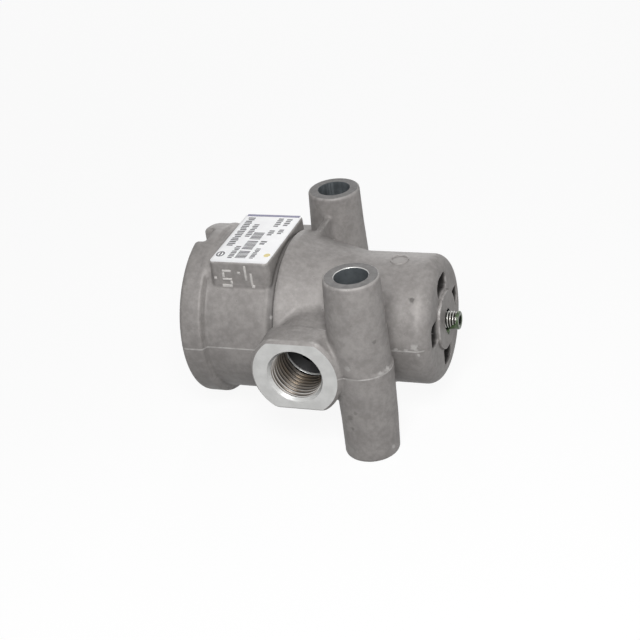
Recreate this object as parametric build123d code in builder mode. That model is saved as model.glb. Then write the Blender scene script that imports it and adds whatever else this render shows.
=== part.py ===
from build123d import *
import os

os.makedirs("parts", exist_ok=True)

# Frame: the origin is on the lower faces of the two fixing bosses, midway between their holes.
# The main axis of the valve runs along +X, from the closing cover to the adjusting screw.
# All sizes are in millimetres, and angles are in degrees.

# Fixing bosses, one on each side of the body and staggered along it
boss_length = 55.0
boss_offset_x = 11.25
boss_offset_y = 26.45
boss_end_r = 7.7
boss_lower_mid_r = 8.2
boss_upper_mid_r = 8.5
boss_edge_round = 0.7
bolt_hole_r = 4.7
bolt_hole_chamfer = 0.4

# Outside of the cast body, from the open end on the left to the spring end on the right
left_end_x = -44.2
rim_r = 25.0
rim_width = 6.1
rim_slope = 2.2
rim_edge_round = 1.0
rim_back_round = 0.8
barrel_r = 23.1
barrel_foot_round = 1.5
barrel_length = 20.3
lip_rise = 0.65
lip_rake = 0.35
lip_width = 1.2
lip_fall = 2.7
lip_front_round = 0.25
lip_back_round = 0.8
cone_start_r = 22.1
cone_start_round = 3.0
cone_length = 15.2
cone_end_round = 8.0
tube_r = 18.6
tube_length = 23.8
tube_edge_round = 4.0
hub_r = 8.5
hub_rise = 0.8
hub_foot_round = 0.2
hub_edge_round = 0.25

# Notch in the top of the rim, for reaching the snap ring
notch_y = -1.1
notch_width = 6.5
notch_depth = 3.3
notch_corner_r = 0.8

# Flat pad for the label on top of the barrel, and the web that joins it to the rim
pad_rise = 1.0
pad_gap_to_rim = 3.05
pad_length = 18.0
pad_front_y = -16.3
pad_rear_y = 14.4
pad_corner_r = 2.8
pad_edge_round = 0.6
label_margin = 0.5
label_thickness = 0.15
label_corner_r = 1.6

# Port bosses, outlet in front and inlet behind
outlet_port_x = -5.4
inlet_port_x = -25.05
port_face_reach = 35.25
port_boss_r = 13.1
port_neck_r = 11.3
port_flat_half = 11.0
port_flat_length = 8.35
port_thread_r = 8.0
port_thread_depth = 13.9
port_chamfer = 0.9
port_passage_r = 5.0
drill_point_length = 1.8

# Web and rib between the bosses and the body
web_reach = 22.0
web_half_width = 5.7
web_half_height = 16.5
web_edge_round = 1.5
rib_thickness = 1.8
rib_half_height = 21.4
rib_edge_round = 0.7

# Bores of the body, stepped down from the open end
cover_bore_r = 20.5
cover_bore_depth = 12.0
seat_bore_r = 17.5
seat_bore_depth = 31.0
piston_bore_r = 15.5
piston_bore_depth = 56.5
piston_stop_width = 1.2
end_wall = 4.0
bore_lead_in = 0.6

# Spring end wall: inner boss, screw hole and four vents
inner_boss_r = 5.3
inner_boss_length = 3.0
screw_counterbore_gap = 0.6
screw_counterbore_depth = 1.2
vent_from_bore = 0.5
vent_width = 6.0
vent_corner_r = 0.9
vent_turn = 4.0
vent_count = 4

# Clearances
slide_clearance = 0.05
static_clearance = 0.03
seal_clearance = 0.02
stop_gap = 0.1

# Closing cover, its O-ring and the snap ring that holds it
cover_recess = 5.0
cover_hub_r = 9.0
cover_dish_r = 14.5
cover_dish_depth = 2.2
cover_edge_chamfer = 0.5
cover_o_ring_cord = 1.9
cover_groove_width = 2.5
cover_groove_back = 2.0
snap_ring_thickness = 1.6
snap_ring_slot = 1.7
snap_groove_depth = 1.1
snap_ring_band = 2.6
snap_ring_gap = 4.0
snap_ear_r = 2.4
snap_ear_hole_r = 1.0
snap_ear_angle = 13.0
snap_tip_gap = 0.1

# Valve that closes the inlet, and its guide and spring
guide_r = 6.5
guide_seat_depth = 5.0
stem_r = 4.5
stem_end_gap = 2.1
poppet_r = 8.8
poppet_disc = 2.2
poppet_cup_wall = 0.7
poppet_cup_depth = 1.0
facing_thickness = 2.0
facing_hole_r = 1.2
rivet_head_gap = 0.6
rivet_head_length = 0.6
rivet_depth = 4.0
stem_o_ring_cord = 1.2
stem_groove_width = 1.6
stem_groove_from_end = 2.2
valve_spring_wire_r = 0.5
valve_spring_gap = 0.5
valve_spring_turns = 4.0

# Seat insert between the inlet and outlet chambers
valve_lift = 1.5
seat_thickness = 4.0
seat_hole_r = 6.5
seat_lip_height = 1.2
seat_lip_wall = 0.8
seat_o_ring_cord = 1.5
seat_groove_width = 2.0
seat_ring_thickness = 1.4
seat_ring_slot = 1.5
seat_ring_groove_depth = 0.9
seat_ring_band = 2.0

# Piston with its hollow stem, seal and guide ring
piston_travel = 2.0
piston_crown = 4.5
piston_skirt = 6.0
piston_skirt_wall = 2.2
piston_stem_r = 4.5
piston_stem_bore_r = 3.0
piston_stem_tip = 0.7
piston_edge_chamfer = 0.4
lip_seal_depth = 2.2
lip_seal_width = 2.6
lip_seal_land = 0.9
lip_seal_mouth = 0.7
lip_seal_notch = 1.3
guide_ring_depth = 0.8
guide_ring_width = 2.6
guide_ring_from_end = 1.9

# Main spring, its dished seat and the adjusting screw
spring_wire_r = 1.5
spring_gap = 0.85
spring_turns = 4.0
seat_back_gap = 2.35
seat_plate_gap = 1.1
seat_plate_thickness = 1.8
seat_cup_depth = 4.5
seat_cup_gap = 0.6
seat_cup_wall = 1.9
seat_floor = 2.0
screw_pocket_depth = 0.85
screw_r = 2.5
screw_length = 16.0
screw_end_chamfer = 0.5
screw_socket_af = 2.5
screw_socket_depth = 2.5

# Places that follow from the sizes above
axis_height = boss_length / 2
rim_back_x = left_end_x + rim_width
barrel_start_x = rim_back_x + rim_slope
shoulder_x = barrel_start_x + barrel_length
cone_start_x = shoulder_x + lip_rake + lip_width + lip_fall
cone_end_x = cone_start_x + cone_length
right_end_x = cone_end_x + tube_length
hub_face_x = right_end_x + hub_rise
cover_step_x = left_end_x + cover_bore_depth
seat_step_x = left_end_x + seat_bore_depth
piston_stop_x = left_end_x + piston_bore_depth
end_wall_x = right_end_x - end_wall
cover_face_x = left_end_x + cover_recess
seat_face_x = seat_step_x - seat_thickness
pad_left_x = rim_back_x + pad_gap_to_rim
pad_mid_x = pad_left_x + pad_length / 2
pad_mid_y = (pad_front_y + pad_rear_y) / 2
pad_width = pad_rear_y - pad_front_y
pad_height = barrel_r + pad_rise
spring_bore_r = piston_bore_r - piston_stop_width
ports = [(outlet_port_x, -1), (inlet_port_x, 1)]

# The turned section: local x runs along the main axis, and local y is the radius
section = Plane(origin=(0, 0, axis_height), x_dir=(1, 0, 0), z_dir=(0, -1, 0))
main_axis = Axis((0, 0, axis_height), (1, 0, 0))


def cross_plane(x):
    """Plane square to the main axis at x, with its normal along +X and local y upwards."""
    return Plane(origin=(x, 0, axis_height), x_dir=(0, 1, 0), z_dir=(1, 0, 0))


def band(x_from, x_to, r_inner, r_outer, mode=Mode.ADD):
    """One rectangular step of a turned section, between two places and two radii."""
    with Locations(((x_from + x_to) / 2, (r_inner + r_outer) / 2)):
        Rectangle(x_to - x_from, r_outer - r_inner, mode=mode)


def cast_outline():
    """Outside of the cast body as half a section, closed along the main axis."""
    lip_r = barrel_r + lip_rise
    lip_start_x = shoulder_x + lip_rake
    corners = [
        (left_end_x, 0),
        (left_end_x, rim_r),
        (rim_back_x, rim_r),
        (barrel_start_x, barrel_r),
        (shoulder_x, barrel_r),
        (lip_start_x, lip_r),
        (lip_start_x + lip_width, lip_r),
        (cone_start_x, cone_start_r),
        (cone_end_x, tube_r),
        (right_end_x, tube_r),
        (right_end_x, hub_r),
        (hub_face_x, hub_r),
        (hub_face_x, 0),
    ]
    rounds = [
        rim_edge_round,
        rim_back_round,
        barrel_foot_round,
        lip_front_round,
        lip_front_round,
        lip_back_round,
        cone_start_round,
        cone_end_round,
        tube_edge_round,
        hub_foot_round,
        hub_edge_round,
    ]
    with BuildSketch(section) as outline:
        with BuildLine():
            FilletPolyline(*corners, radius=rounds)
            Line(corners[-1], corners[0])
        make_face()
    return outline.sketch


def port_bore(x, side, chamber_r):
    """Half section of a port: thread bore, drill point and the passage to its chamber."""
    thread_end = port_face_reach - port_thread_depth
    passage_end = chamber_r - port_passage_r
    plane = Plane(origin=(x, 0, axis_height), x_dir=(0, side, 0), z_dir=(-side, 0, 0))
    with BuildSketch(plane) as bore:
        with BuildLine():
            Polyline(
                (port_face_reach, 0),
                (port_face_reach, port_thread_r + port_chamfer),
                (port_face_reach - port_chamfer, port_thread_r),
                (thread_end, port_thread_r),
                (thread_end - drill_point_length, port_passage_r),
                (passage_end, port_passage_r),
                (passage_end, 0),
                close=True,
            )
        make_face()
    return bore.sketch


def boss_outline(side):
    """Half section of a fixing boss: two drafted halves that meet at the parting plane."""
    place = (-side * boss_offset_x, side * boss_offset_y, 0)
    with BuildSketch(Plane(origin=place, x_dir=(0, side, 0), z_dir=(side, 0, 0))) as outline:
        with BuildLine():
            Polyline(
                (0, 0),
                (boss_end_r, 0),
                (boss_lower_mid_r, axis_height),
                (boss_upper_mid_r, axis_height),
                (boss_end_r, boss_length),
                (0, boss_length),
                close=True,
            )
        make_face()
        fillet(outline.vertices().filter_by_position(Axis.X, boss_end_r, boss_end_r), boss_edge_round)
    return outline.sketch


def snap_ring_outline(outer_r, ring_band):
    """Open ring with two drilled ears at its gap, on the plane of the current sketch."""
    ear_place_r = outer_r - ring_band
    Circle(outer_r)
    Circle(outer_r - ring_band, mode=Mode.SUBTRACT)
    ears = [
        (ear_place_r * Vector(0, 1).rotate(Axis.Z, turn * snap_ear_angle))
        for turn in (-1, 1)
    ]
    with Locations(*ears):
        Circle(snap_ear_r)
    with Locations((0, outer_r)):
        Rectangle(snap_ring_gap, 4 * snap_ear_r, mode=Mode.SUBTRACT)
    with Locations(*ears):
        Circle(snap_ear_hole_r, mode=Mode.SUBTRACT)


def o_ring_section(x, r_inner, cord):
    """Round section of an O-ring that rests on the radius r_inner."""
    with Locations((x, r_inner + cord / 2)):
        Circle(cord / 2)


# Both fixing bosses, each turned about the axis of its hole
with BuildPart() as fixing_bosses:
    for side in (-1, 1):
        boss_axis = Axis((-side * boss_offset_x, side * boss_offset_y, 0), (0, 0, 1))
        revolve(boss_outline(side), axis=boss_axis)

# Pad for the label, with its upper edge rounded
with BuildPart() as label_pad:
    with BuildSketch(Plane.XY.offset(axis_height + pad_height)):
        with Locations((pad_mid_x, pad_mid_y)):
            RectangleRounded(pad_length, pad_width, pad_corner_r)
    extrude(amount=-pad_height)
    fillet(label_pad.faces().sort_by(Axis.Z)[-1].edges(), pad_edge_round)

# Port bosses, each a round neck that ends in a collar with two wrench flats
with BuildPart() as port_bosses:
    for port_x, side in ports:
        plane = Plane(origin=(port_x, 0, axis_height), x_dir=(-side, 0, 0), z_dir=(0, side, 0))
        with BuildSketch(plane):
            Circle(port_neck_r)
        extrude(amount=port_face_reach - port_flat_length)
        with BuildSketch(plane.offset(port_face_reach - port_flat_length)):
            Circle(port_boss_r)
            Rectangle(2 * port_boss_r, 2 * port_flat_half, mode=Mode.INTERSECT)
        extrude(amount=port_flat_length)

# Housing: one casting with all its bosses, then the machined bores
with BuildPart() as housing:
    revolve(cast_outline(), axis=main_axis)
    # Wide web between the narrow spring end and the front boss
    with BuildSketch(section.offset(boss_offset_y)):
        with Locations((boss_offset_x, 0)):
            RectangleRounded(2 * web_half_width, 2 * web_half_height, web_edge_round)
    extrude(amount=-web_reach)
    # Thin rib between the shoulder and the rear boss
    with BuildSketch(section.offset(-boss_offset_y)):
        with Locations((-boss_offset_x, 0)):
            RectangleRounded(rib_thickness, 2 * rib_half_height, rib_edge_round)
    extrude(amount=web_reach)
    add(fixing_bosses.part)
    add(port_bosses.part)
    # Label pad and the fill between it and the rim
    add(label_pad.part)
    for fill_top, fill_end_x in ((rim_r, pad_left_x), (pad_height, pad_left_x + pad_corner_r)):
        with BuildSketch(cross_plane(rim_back_x)):
            Circle(rim_r)
            with Locations((pad_mid_y, fill_top / 2)):
                Rectangle(pad_width, fill_top, mode=Mode.INTERSECT)
        extrude(amount=fill_end_x - rim_back_x)
    # Stepped bores with the grooves of both snap rings
    with BuildSketch(section):
        band(left_end_x, cover_step_x, 0, cover_bore_r)
        band(cover_step_x, seat_step_x, 0, seat_bore_r)
        band(seat_step_x, piston_stop_x, 0, piston_bore_r)
        band(piston_stop_x, end_wall_x, 0, spring_bore_r)
        band(cover_face_x - snap_ring_slot, cover_face_x, 0, cover_bore_r + snap_groove_depth)
        band(seat_face_x - seat_ring_slot, seat_face_x, 0, seat_bore_r + seat_ring_groove_depth)
    revolve(axis=main_axis, mode=Mode.SUBTRACT)
    mouth = housing.edges().filter_by(GeomType.CIRCLE).group_by(Axis.X)[0].sort_by(SortBy.RADIUS)[0]
    chamfer(mouth, bore_lead_in)
    # Boss inside the end wall, screw hole and vents
    with BuildSketch(cross_plane(end_wall_x)):
        Circle(inner_boss_r)
    extrude(amount=-inner_boss_length)
    with BuildSketch(section):
        band(end_wall_x - inner_boss_length, hub_face_x, 0, screw_r + slide_clearance)
        band(hub_face_x - screw_counterbore_depth, hub_face_x, 0, screw_r + screw_counterbore_gap)
    revolve(axis=main_axis, mode=Mode.SUBTRACT)
    with BuildSketch(cross_plane(hub_face_x)) as vents:
        with PolarLocations(0, vent_count, start_angle=vent_turn):
            Rectangle(spring_bore_r, vent_width, align=(Align.MIN, Align.CENTER))
        Circle(spring_bore_r - vent_from_bore, mode=Mode.INTERSECT)
        Circle(hub_r, mode=Mode.SUBTRACT)
        fillet(vents.vertices(), vent_corner_r)
    extrude(amount=-(end_wall + hub_rise), mode=Mode.SUBTRACT)
    # Ports, fixing holes and the notch in the rim
    for (port_x, side), chamber_r in zip(ports, (piston_bore_r, seat_bore_r)):
        port_axis = Axis((port_x, 0, axis_height), (0, 1, 0))
        revolve(port_bore(port_x, side, chamber_r), axis=port_axis, mode=Mode.SUBTRACT)
    with Locations(
        (boss_offset_x, -boss_offset_y, boss_length), (-boss_offset_x, boss_offset_y, boss_length)
    ):
        Hole(bolt_hole_r)
    hole_rims = housing.edges().filter_by(GeomType.CIRCLE).filter_by(
        lambda rim: abs(rim.radius - bolt_hole_r) < 0.001
    )
    chamfer(hole_rims, bolt_hole_chamfer)
    with BuildSketch(Plane.XY.offset(axis_height + rim_r)) as notch:
        with Locations((left_end_x, notch_y)):
            Rectangle(2 * notch_depth, notch_width)
        fillet(notch.vertices(), notch_corner_r)
    extrude(amount=-(rim_r - cover_bore_r) * 2, mode=Mode.SUBTRACT)
housing.part.label = "housing"

# Label stuck on the pad
with BuildPart() as label:
    with BuildSketch(Plane.XY.offset(axis_height + pad_height)):
        with Locations((pad_mid_x, pad_mid_y)):
            RectangleRounded(
                pad_length - 2 * (pad_edge_round + label_margin),
                pad_width - 2 * (pad_edge_round + label_margin),
                label_corner_r,
            )
    extrude(amount=label_thickness)
label.part.label = "label"

# Closing cover with a dished face, an O-ring groove and the seat of the valve guide
cover_groove_x = cover_step_x - cover_groove_back - cover_groove_width
guide_seat_x = cover_step_x - guide_seat_depth
with BuildPart() as end_cover:
    with BuildSketch(section):
        band(cover_face_x, cover_step_x, 0, cover_bore_r - static_clearance)
        band(
            cover_groove_x,
            cover_groove_x + cover_groove_width,
            cover_bore_r - cover_o_ring_cord,
            cover_bore_r,
            mode=Mode.SUBTRACT,
        )
        band(cover_face_x, cover_face_x + cover_dish_depth, cover_hub_r, cover_dish_r, mode=Mode.SUBTRACT)
        band(guide_seat_x, cover_step_x, 0, guide_r, mode=Mode.SUBTRACT)
    revolve(axis=main_axis)
    face_rims = end_cover.edges().filter_by(GeomType.CIRCLE).group_by(Axis.X)[0]
    chamfer(face_rims.sort_by(SortBy.RADIUS)[-1], cover_edge_chamfer)
end_cover.part.label = "end_cover"

with BuildPart() as cover_o_ring:
    with BuildSketch(section):
        o_ring_section(
            cover_groove_x + cover_groove_width / 2, cover_bore_r - cover_o_ring_cord, cover_o_ring_cord
        )
    revolve(axis=main_axis)
cover_o_ring.part.label = "cover_o_ring"

with BuildPart() as cover_snap_ring:
    with BuildSketch(cross_plane(cover_face_x - snap_ring_thickness)):
        snap_ring_outline(cover_bore_r + snap_groove_depth - snap_tip_gap, snap_ring_band + snap_groove_depth)
    extrude(amount=snap_ring_thickness)
cover_snap_ring.part.label = "cover_snap_ring"

# Places of the valve, which follow from the seat it closes
seat_lip_x = seat_face_x - seat_lip_height
facing_face_x = seat_lip_x - valve_lift
poppet_seat_x = facing_face_x - facing_thickness
poppet_back_x = poppet_seat_x - poppet_disc
guide_end_x = poppet_back_x - stop_gap
stem_end_x = guide_seat_x + stem_end_gap

# Guide sleeve pressed into the cover, on which the valve stops when it is fully open
with BuildPart() as valve_guide:
    with BuildSketch(section):
        band(guide_seat_x, guide_end_x, stem_r + slide_clearance, guide_r)
    revolve(axis=main_axis)
valve_guide.part.label = "valve_guide"

# Inlet valve: stem, cupped disc, rubber facing and the rivet that holds the facing
stem_groove_x = stem_end_x + stem_groove_from_end
stem_groove_r = stem_r + slide_clearance - stem_o_ring_cord
with BuildPart() as valve_poppet:
    with BuildSketch(section):
        band(stem_end_x, poppet_seat_x, 0, stem_r)
        band(poppet_back_x, poppet_seat_x + poppet_cup_depth, 0, poppet_r)
        band(
            poppet_seat_x,
            poppet_seat_x + poppet_cup_depth,
            0,
            poppet_r - poppet_cup_wall,
            mode=Mode.SUBTRACT,
        )
        band(stem_groove_x, stem_groove_x + stem_groove_width, stem_groove_r, stem_r, mode=Mode.SUBTRACT)
        band(poppet_seat_x - rivet_depth, poppet_seat_x, 0, facing_hole_r, mode=Mode.SUBTRACT)
    revolve(axis=main_axis)
valve_poppet.part.label = "valve_poppet"

with BuildPart() as valve_facing:
    with BuildSketch(section):
        band(poppet_seat_x, facing_face_x, facing_hole_r, poppet_r - poppet_cup_wall)
    revolve(axis=main_axis)
valve_facing.part.label = "valve_facing"

with BuildPart() as facing_rivet:
    with BuildSketch(section):
        band(poppet_seat_x - rivet_depth, facing_face_x, 0, facing_hole_r)
        band(facing_face_x, facing_face_x + rivet_head_length, 0, piston_stem_bore_r - rivet_head_gap)
    revolve(axis=main_axis)
facing_rivet.part.label = "facing_rivet"

with BuildPart() as stem_o_ring:
    with BuildSketch(section):
        o_ring_section(
            stem_groove_x + stem_groove_width / 2, stem_groove_r, stem_o_ring_cord - seal_clearance
        )
    revolve(axis=main_axis)
stem_o_ring.part.label = "stem_o_ring"


def coil(part_name, start_x, end_x, mean_r, wire_r, turns):
    """Compression spring that just fits between two planes square to the main axis."""
    height = end_x - start_x - 2 * wire_r
    with BuildPart() as spring:
        with BuildLine():
            path = Helix(
                pitch=height / turns,
                height=height,
                radius=mean_r,
                center=(start_x + wire_r, 0, axis_height),
                direction=(1, 0, 0),
            )
        with BuildSketch(Plane(origin=path @ 0, z_dir=path % 0)):
            Circle(wire_r)
        sweep(is_frenet=True)
    spring.part.label = part_name
    return spring


valve_spring = coil(
    "valve_spring",
    cover_step_x,
    poppet_back_x,
    guide_r + valve_spring_gap + valve_spring_wire_r,
    valve_spring_wire_r,
    valve_spring_turns,
)

# Seat insert with the raised inlet seat, its O-ring and its snap ring
seat_groove_x = (seat_face_x + seat_step_x - seat_groove_width) / 2
with BuildPart() as seat_insert:
    with BuildSketch(section):
        band(seat_face_x, seat_step_x, seat_hole_r, seat_bore_r - static_clearance)
        band(seat_lip_x, seat_face_x, seat_hole_r, seat_hole_r + seat_lip_wall)
        band(
            seat_groove_x,
            seat_groove_x + seat_groove_width,
            seat_bore_r - seat_o_ring_cord,
            seat_bore_r,
            mode=Mode.SUBTRACT,
        )
    revolve(axis=main_axis)
seat_insert.part.label = "seat_insert"

with BuildPart() as seat_o_ring:
    with BuildSketch(section):
        o_ring_section(
            seat_groove_x + seat_groove_width / 2, seat_bore_r - seat_o_ring_cord, seat_o_ring_cord
        )
    revolve(axis=main_axis)
seat_o_ring.part.label = "seat_o_ring"

with BuildPart() as seat_snap_ring:
    with BuildSketch(cross_plane(seat_face_x - seat_ring_thickness)):
        snap_ring_outline(
            seat_bore_r + seat_ring_groove_depth - snap_tip_gap, seat_ring_band + seat_ring_groove_depth
        )
    extrude(amount=seat_ring_thickness)
seat_snap_ring.part.label = "seat_snap_ring"

# Piston: crown, skirt round the spring, and the hollow stem that opens the inlet
piston_r = piston_bore_r - slide_clearance
piston_end_x = piston_stop_x - piston_travel
piston_floor_x = piston_end_x - piston_skirt
piston_crown_x = piston_floor_x - piston_crown
lip_groove_x = piston_crown_x + lip_seal_land
lip_groove_r = piston_bore_r - lip_seal_depth
guide_groove_x = piston_end_x - guide_ring_from_end - guide_ring_width
guide_groove_r = piston_bore_r - guide_ring_depth
with BuildPart() as piston:
    with BuildSketch(section):
        band(piston_crown_x, piston_end_x, 0, piston_r)
        band(piston_floor_x, piston_end_x, 0, piston_r - piston_skirt_wall, mode=Mode.SUBTRACT)
        band(facing_face_x, piston_crown_x, 0, piston_stem_r)
        band(facing_face_x, piston_floor_x, 0, piston_stem_bore_r, mode=Mode.SUBTRACT)
        band(lip_groove_x, lip_groove_x + lip_seal_width, lip_groove_r, piston_r, mode=Mode.SUBTRACT)
        band(
            guide_groove_x, guide_groove_x + guide_ring_width, guide_groove_r, piston_r, mode=Mode.SUBTRACT
        )
    revolve(axis=main_axis)
    tip_rim = piston.edges().filter_by(GeomType.CIRCLE).sort_by(Axis.X)[:2].sort_by(SortBy.RADIUS)[-1]
    chamfer(tip_rim, piston_stem_tip)
    chamfer(piston.edges().filter_by(GeomType.CIRCLE).group_by(Axis.X)[-1], piston_edge_chamfer)
piston.part.label = "piston"

with BuildPart() as piston_lip_seal:
    with BuildSketch(section):
        band(lip_groove_x, lip_groove_x + lip_seal_width, lip_groove_r, piston_bore_r - seal_clearance)
        with Locations((lip_groove_x, lip_groove_r + lip_seal_depth / 2)):
            RectangleRounded(2 * lip_seal_notch, lip_seal_mouth, lip_seal_mouth * 0.45, mode=Mode.SUBTRACT)
    revolve(axis=main_axis)
piston_lip_seal.part.label = "piston_lip_seal"

with BuildPart() as piston_guide_ring:
    with BuildSketch(section):
        band(
            guide_groove_x,
            guide_groove_x + guide_ring_width,
            guide_groove_r,
            piston_bore_r - seal_clearance,
        )
    revolve(axis=main_axis)
piston_guide_ring.part.label = "piston_guide_ring"

# Dished spring seat: flange under the spring, cup round the inner boss, pocket for the screw
seat_plate_back_x = end_wall_x - seat_back_gap
seat_plate_x = seat_plate_back_x - seat_plate_thickness
seat_floor_x = seat_plate_x - seat_cup_depth
spring_mean_r = piston_r - piston_skirt_wall - spring_gap - spring_wire_r
seat_cup_r = spring_mean_r - spring_wire_r - seat_cup_gap
with BuildPart() as spring_seat:
    with BuildSketch(section):
        band(seat_plate_x, seat_plate_back_x, 0, spring_bore_r - seat_plate_gap)
        band(seat_floor_x, seat_plate_back_x, 0, seat_cup_r)
        band(
            seat_floor_x + seat_floor,
            seat_plate_back_x,
            0,
            seat_cup_r - seat_cup_wall,
            mode=Mode.SUBTRACT,
        )
        band(
            seat_floor_x + seat_floor - screw_pocket_depth,
            seat_floor_x + seat_floor,
            0,
            screw_r + slide_clearance,
            mode=Mode.SUBTRACT,
        )
    revolve(axis=main_axis)
spring_seat.part.label = "spring_seat"

main_spring = coil(
    "main_spring", piston_floor_x, seat_plate_x, spring_mean_r, spring_wire_r, spring_turns
)

# Adjusting screw with a hexagon socket in its outer end
screw_tip_x = seat_floor_x + seat_floor - screw_pocket_depth
screw_end_x = screw_tip_x + screw_length
with BuildPart() as adjusting_screw:
    with BuildSketch(section):
        band(screw_tip_x, screw_end_x, 0, screw_r)
    revolve(axis=main_axis)
    chamfer(adjusting_screw.edges().filter_by(GeomType.CIRCLE), screw_end_chamfer)
    with BuildSketch(cross_plane(screw_end_x)):
        RegularPolygon(screw_socket_af / 2, 6, major_radius=False)
    extrude(amount=-screw_socket_depth, mode=Mode.SUBTRACT)
adjusting_screw.part.label = "adjusting_screw"

pieces = [
    housing,
    label,
    end_cover,
    cover_o_ring,
    cover_snap_ring,
    valve_guide,
    valve_poppet,
    valve_facing,
    facing_rivet,
    stem_o_ring,
    valve_spring,
    seat_insert,
    seat_o_ring,
    seat_snap_ring,
    piston,
    piston_lip_seal,
    piston_guide_ring,
    main_spring,
    spring_seat,
    adjusting_screw,
]
for piece in pieces:
    export_step(piece.part, f"parts/{piece.part.label}.step")
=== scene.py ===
"""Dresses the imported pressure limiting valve: its casting, threads, label, screw and springs."""

import logging
import math
from dataclasses import dataclass
from enum import Enum

import bmesh
import bpy
import numpy as np
from mathutils import Euler, Matrix, Vector


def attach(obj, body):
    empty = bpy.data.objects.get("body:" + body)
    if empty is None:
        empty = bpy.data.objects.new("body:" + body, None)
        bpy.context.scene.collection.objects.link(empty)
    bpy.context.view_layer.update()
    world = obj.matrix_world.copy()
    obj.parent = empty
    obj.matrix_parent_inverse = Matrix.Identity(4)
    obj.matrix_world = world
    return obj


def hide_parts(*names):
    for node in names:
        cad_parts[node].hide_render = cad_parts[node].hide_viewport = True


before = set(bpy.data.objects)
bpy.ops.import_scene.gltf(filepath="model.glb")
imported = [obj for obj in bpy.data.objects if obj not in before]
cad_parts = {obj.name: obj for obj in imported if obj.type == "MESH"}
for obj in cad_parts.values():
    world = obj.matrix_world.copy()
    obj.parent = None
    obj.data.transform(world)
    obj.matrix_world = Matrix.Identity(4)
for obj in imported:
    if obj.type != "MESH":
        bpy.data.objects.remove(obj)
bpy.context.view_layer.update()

log = logging.getLogger("valve")
MM = 0.001
AXIS_Z = 27.5
PORT_FACE_Y = 35.25
OUTLET_X = -5.4
INLET_X = -25.05

Colour = tuple[float, float, float]
Place = tuple[float, float, float]
Outline = list[tuple[float, float]]


class Ground(Enum):
    """What the surface of a casting shows where a cutter has been."""

    CAST = 0
    TURNED = 1
    DRILLED = 2
    FACED = 3
    DARK = 4


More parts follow.
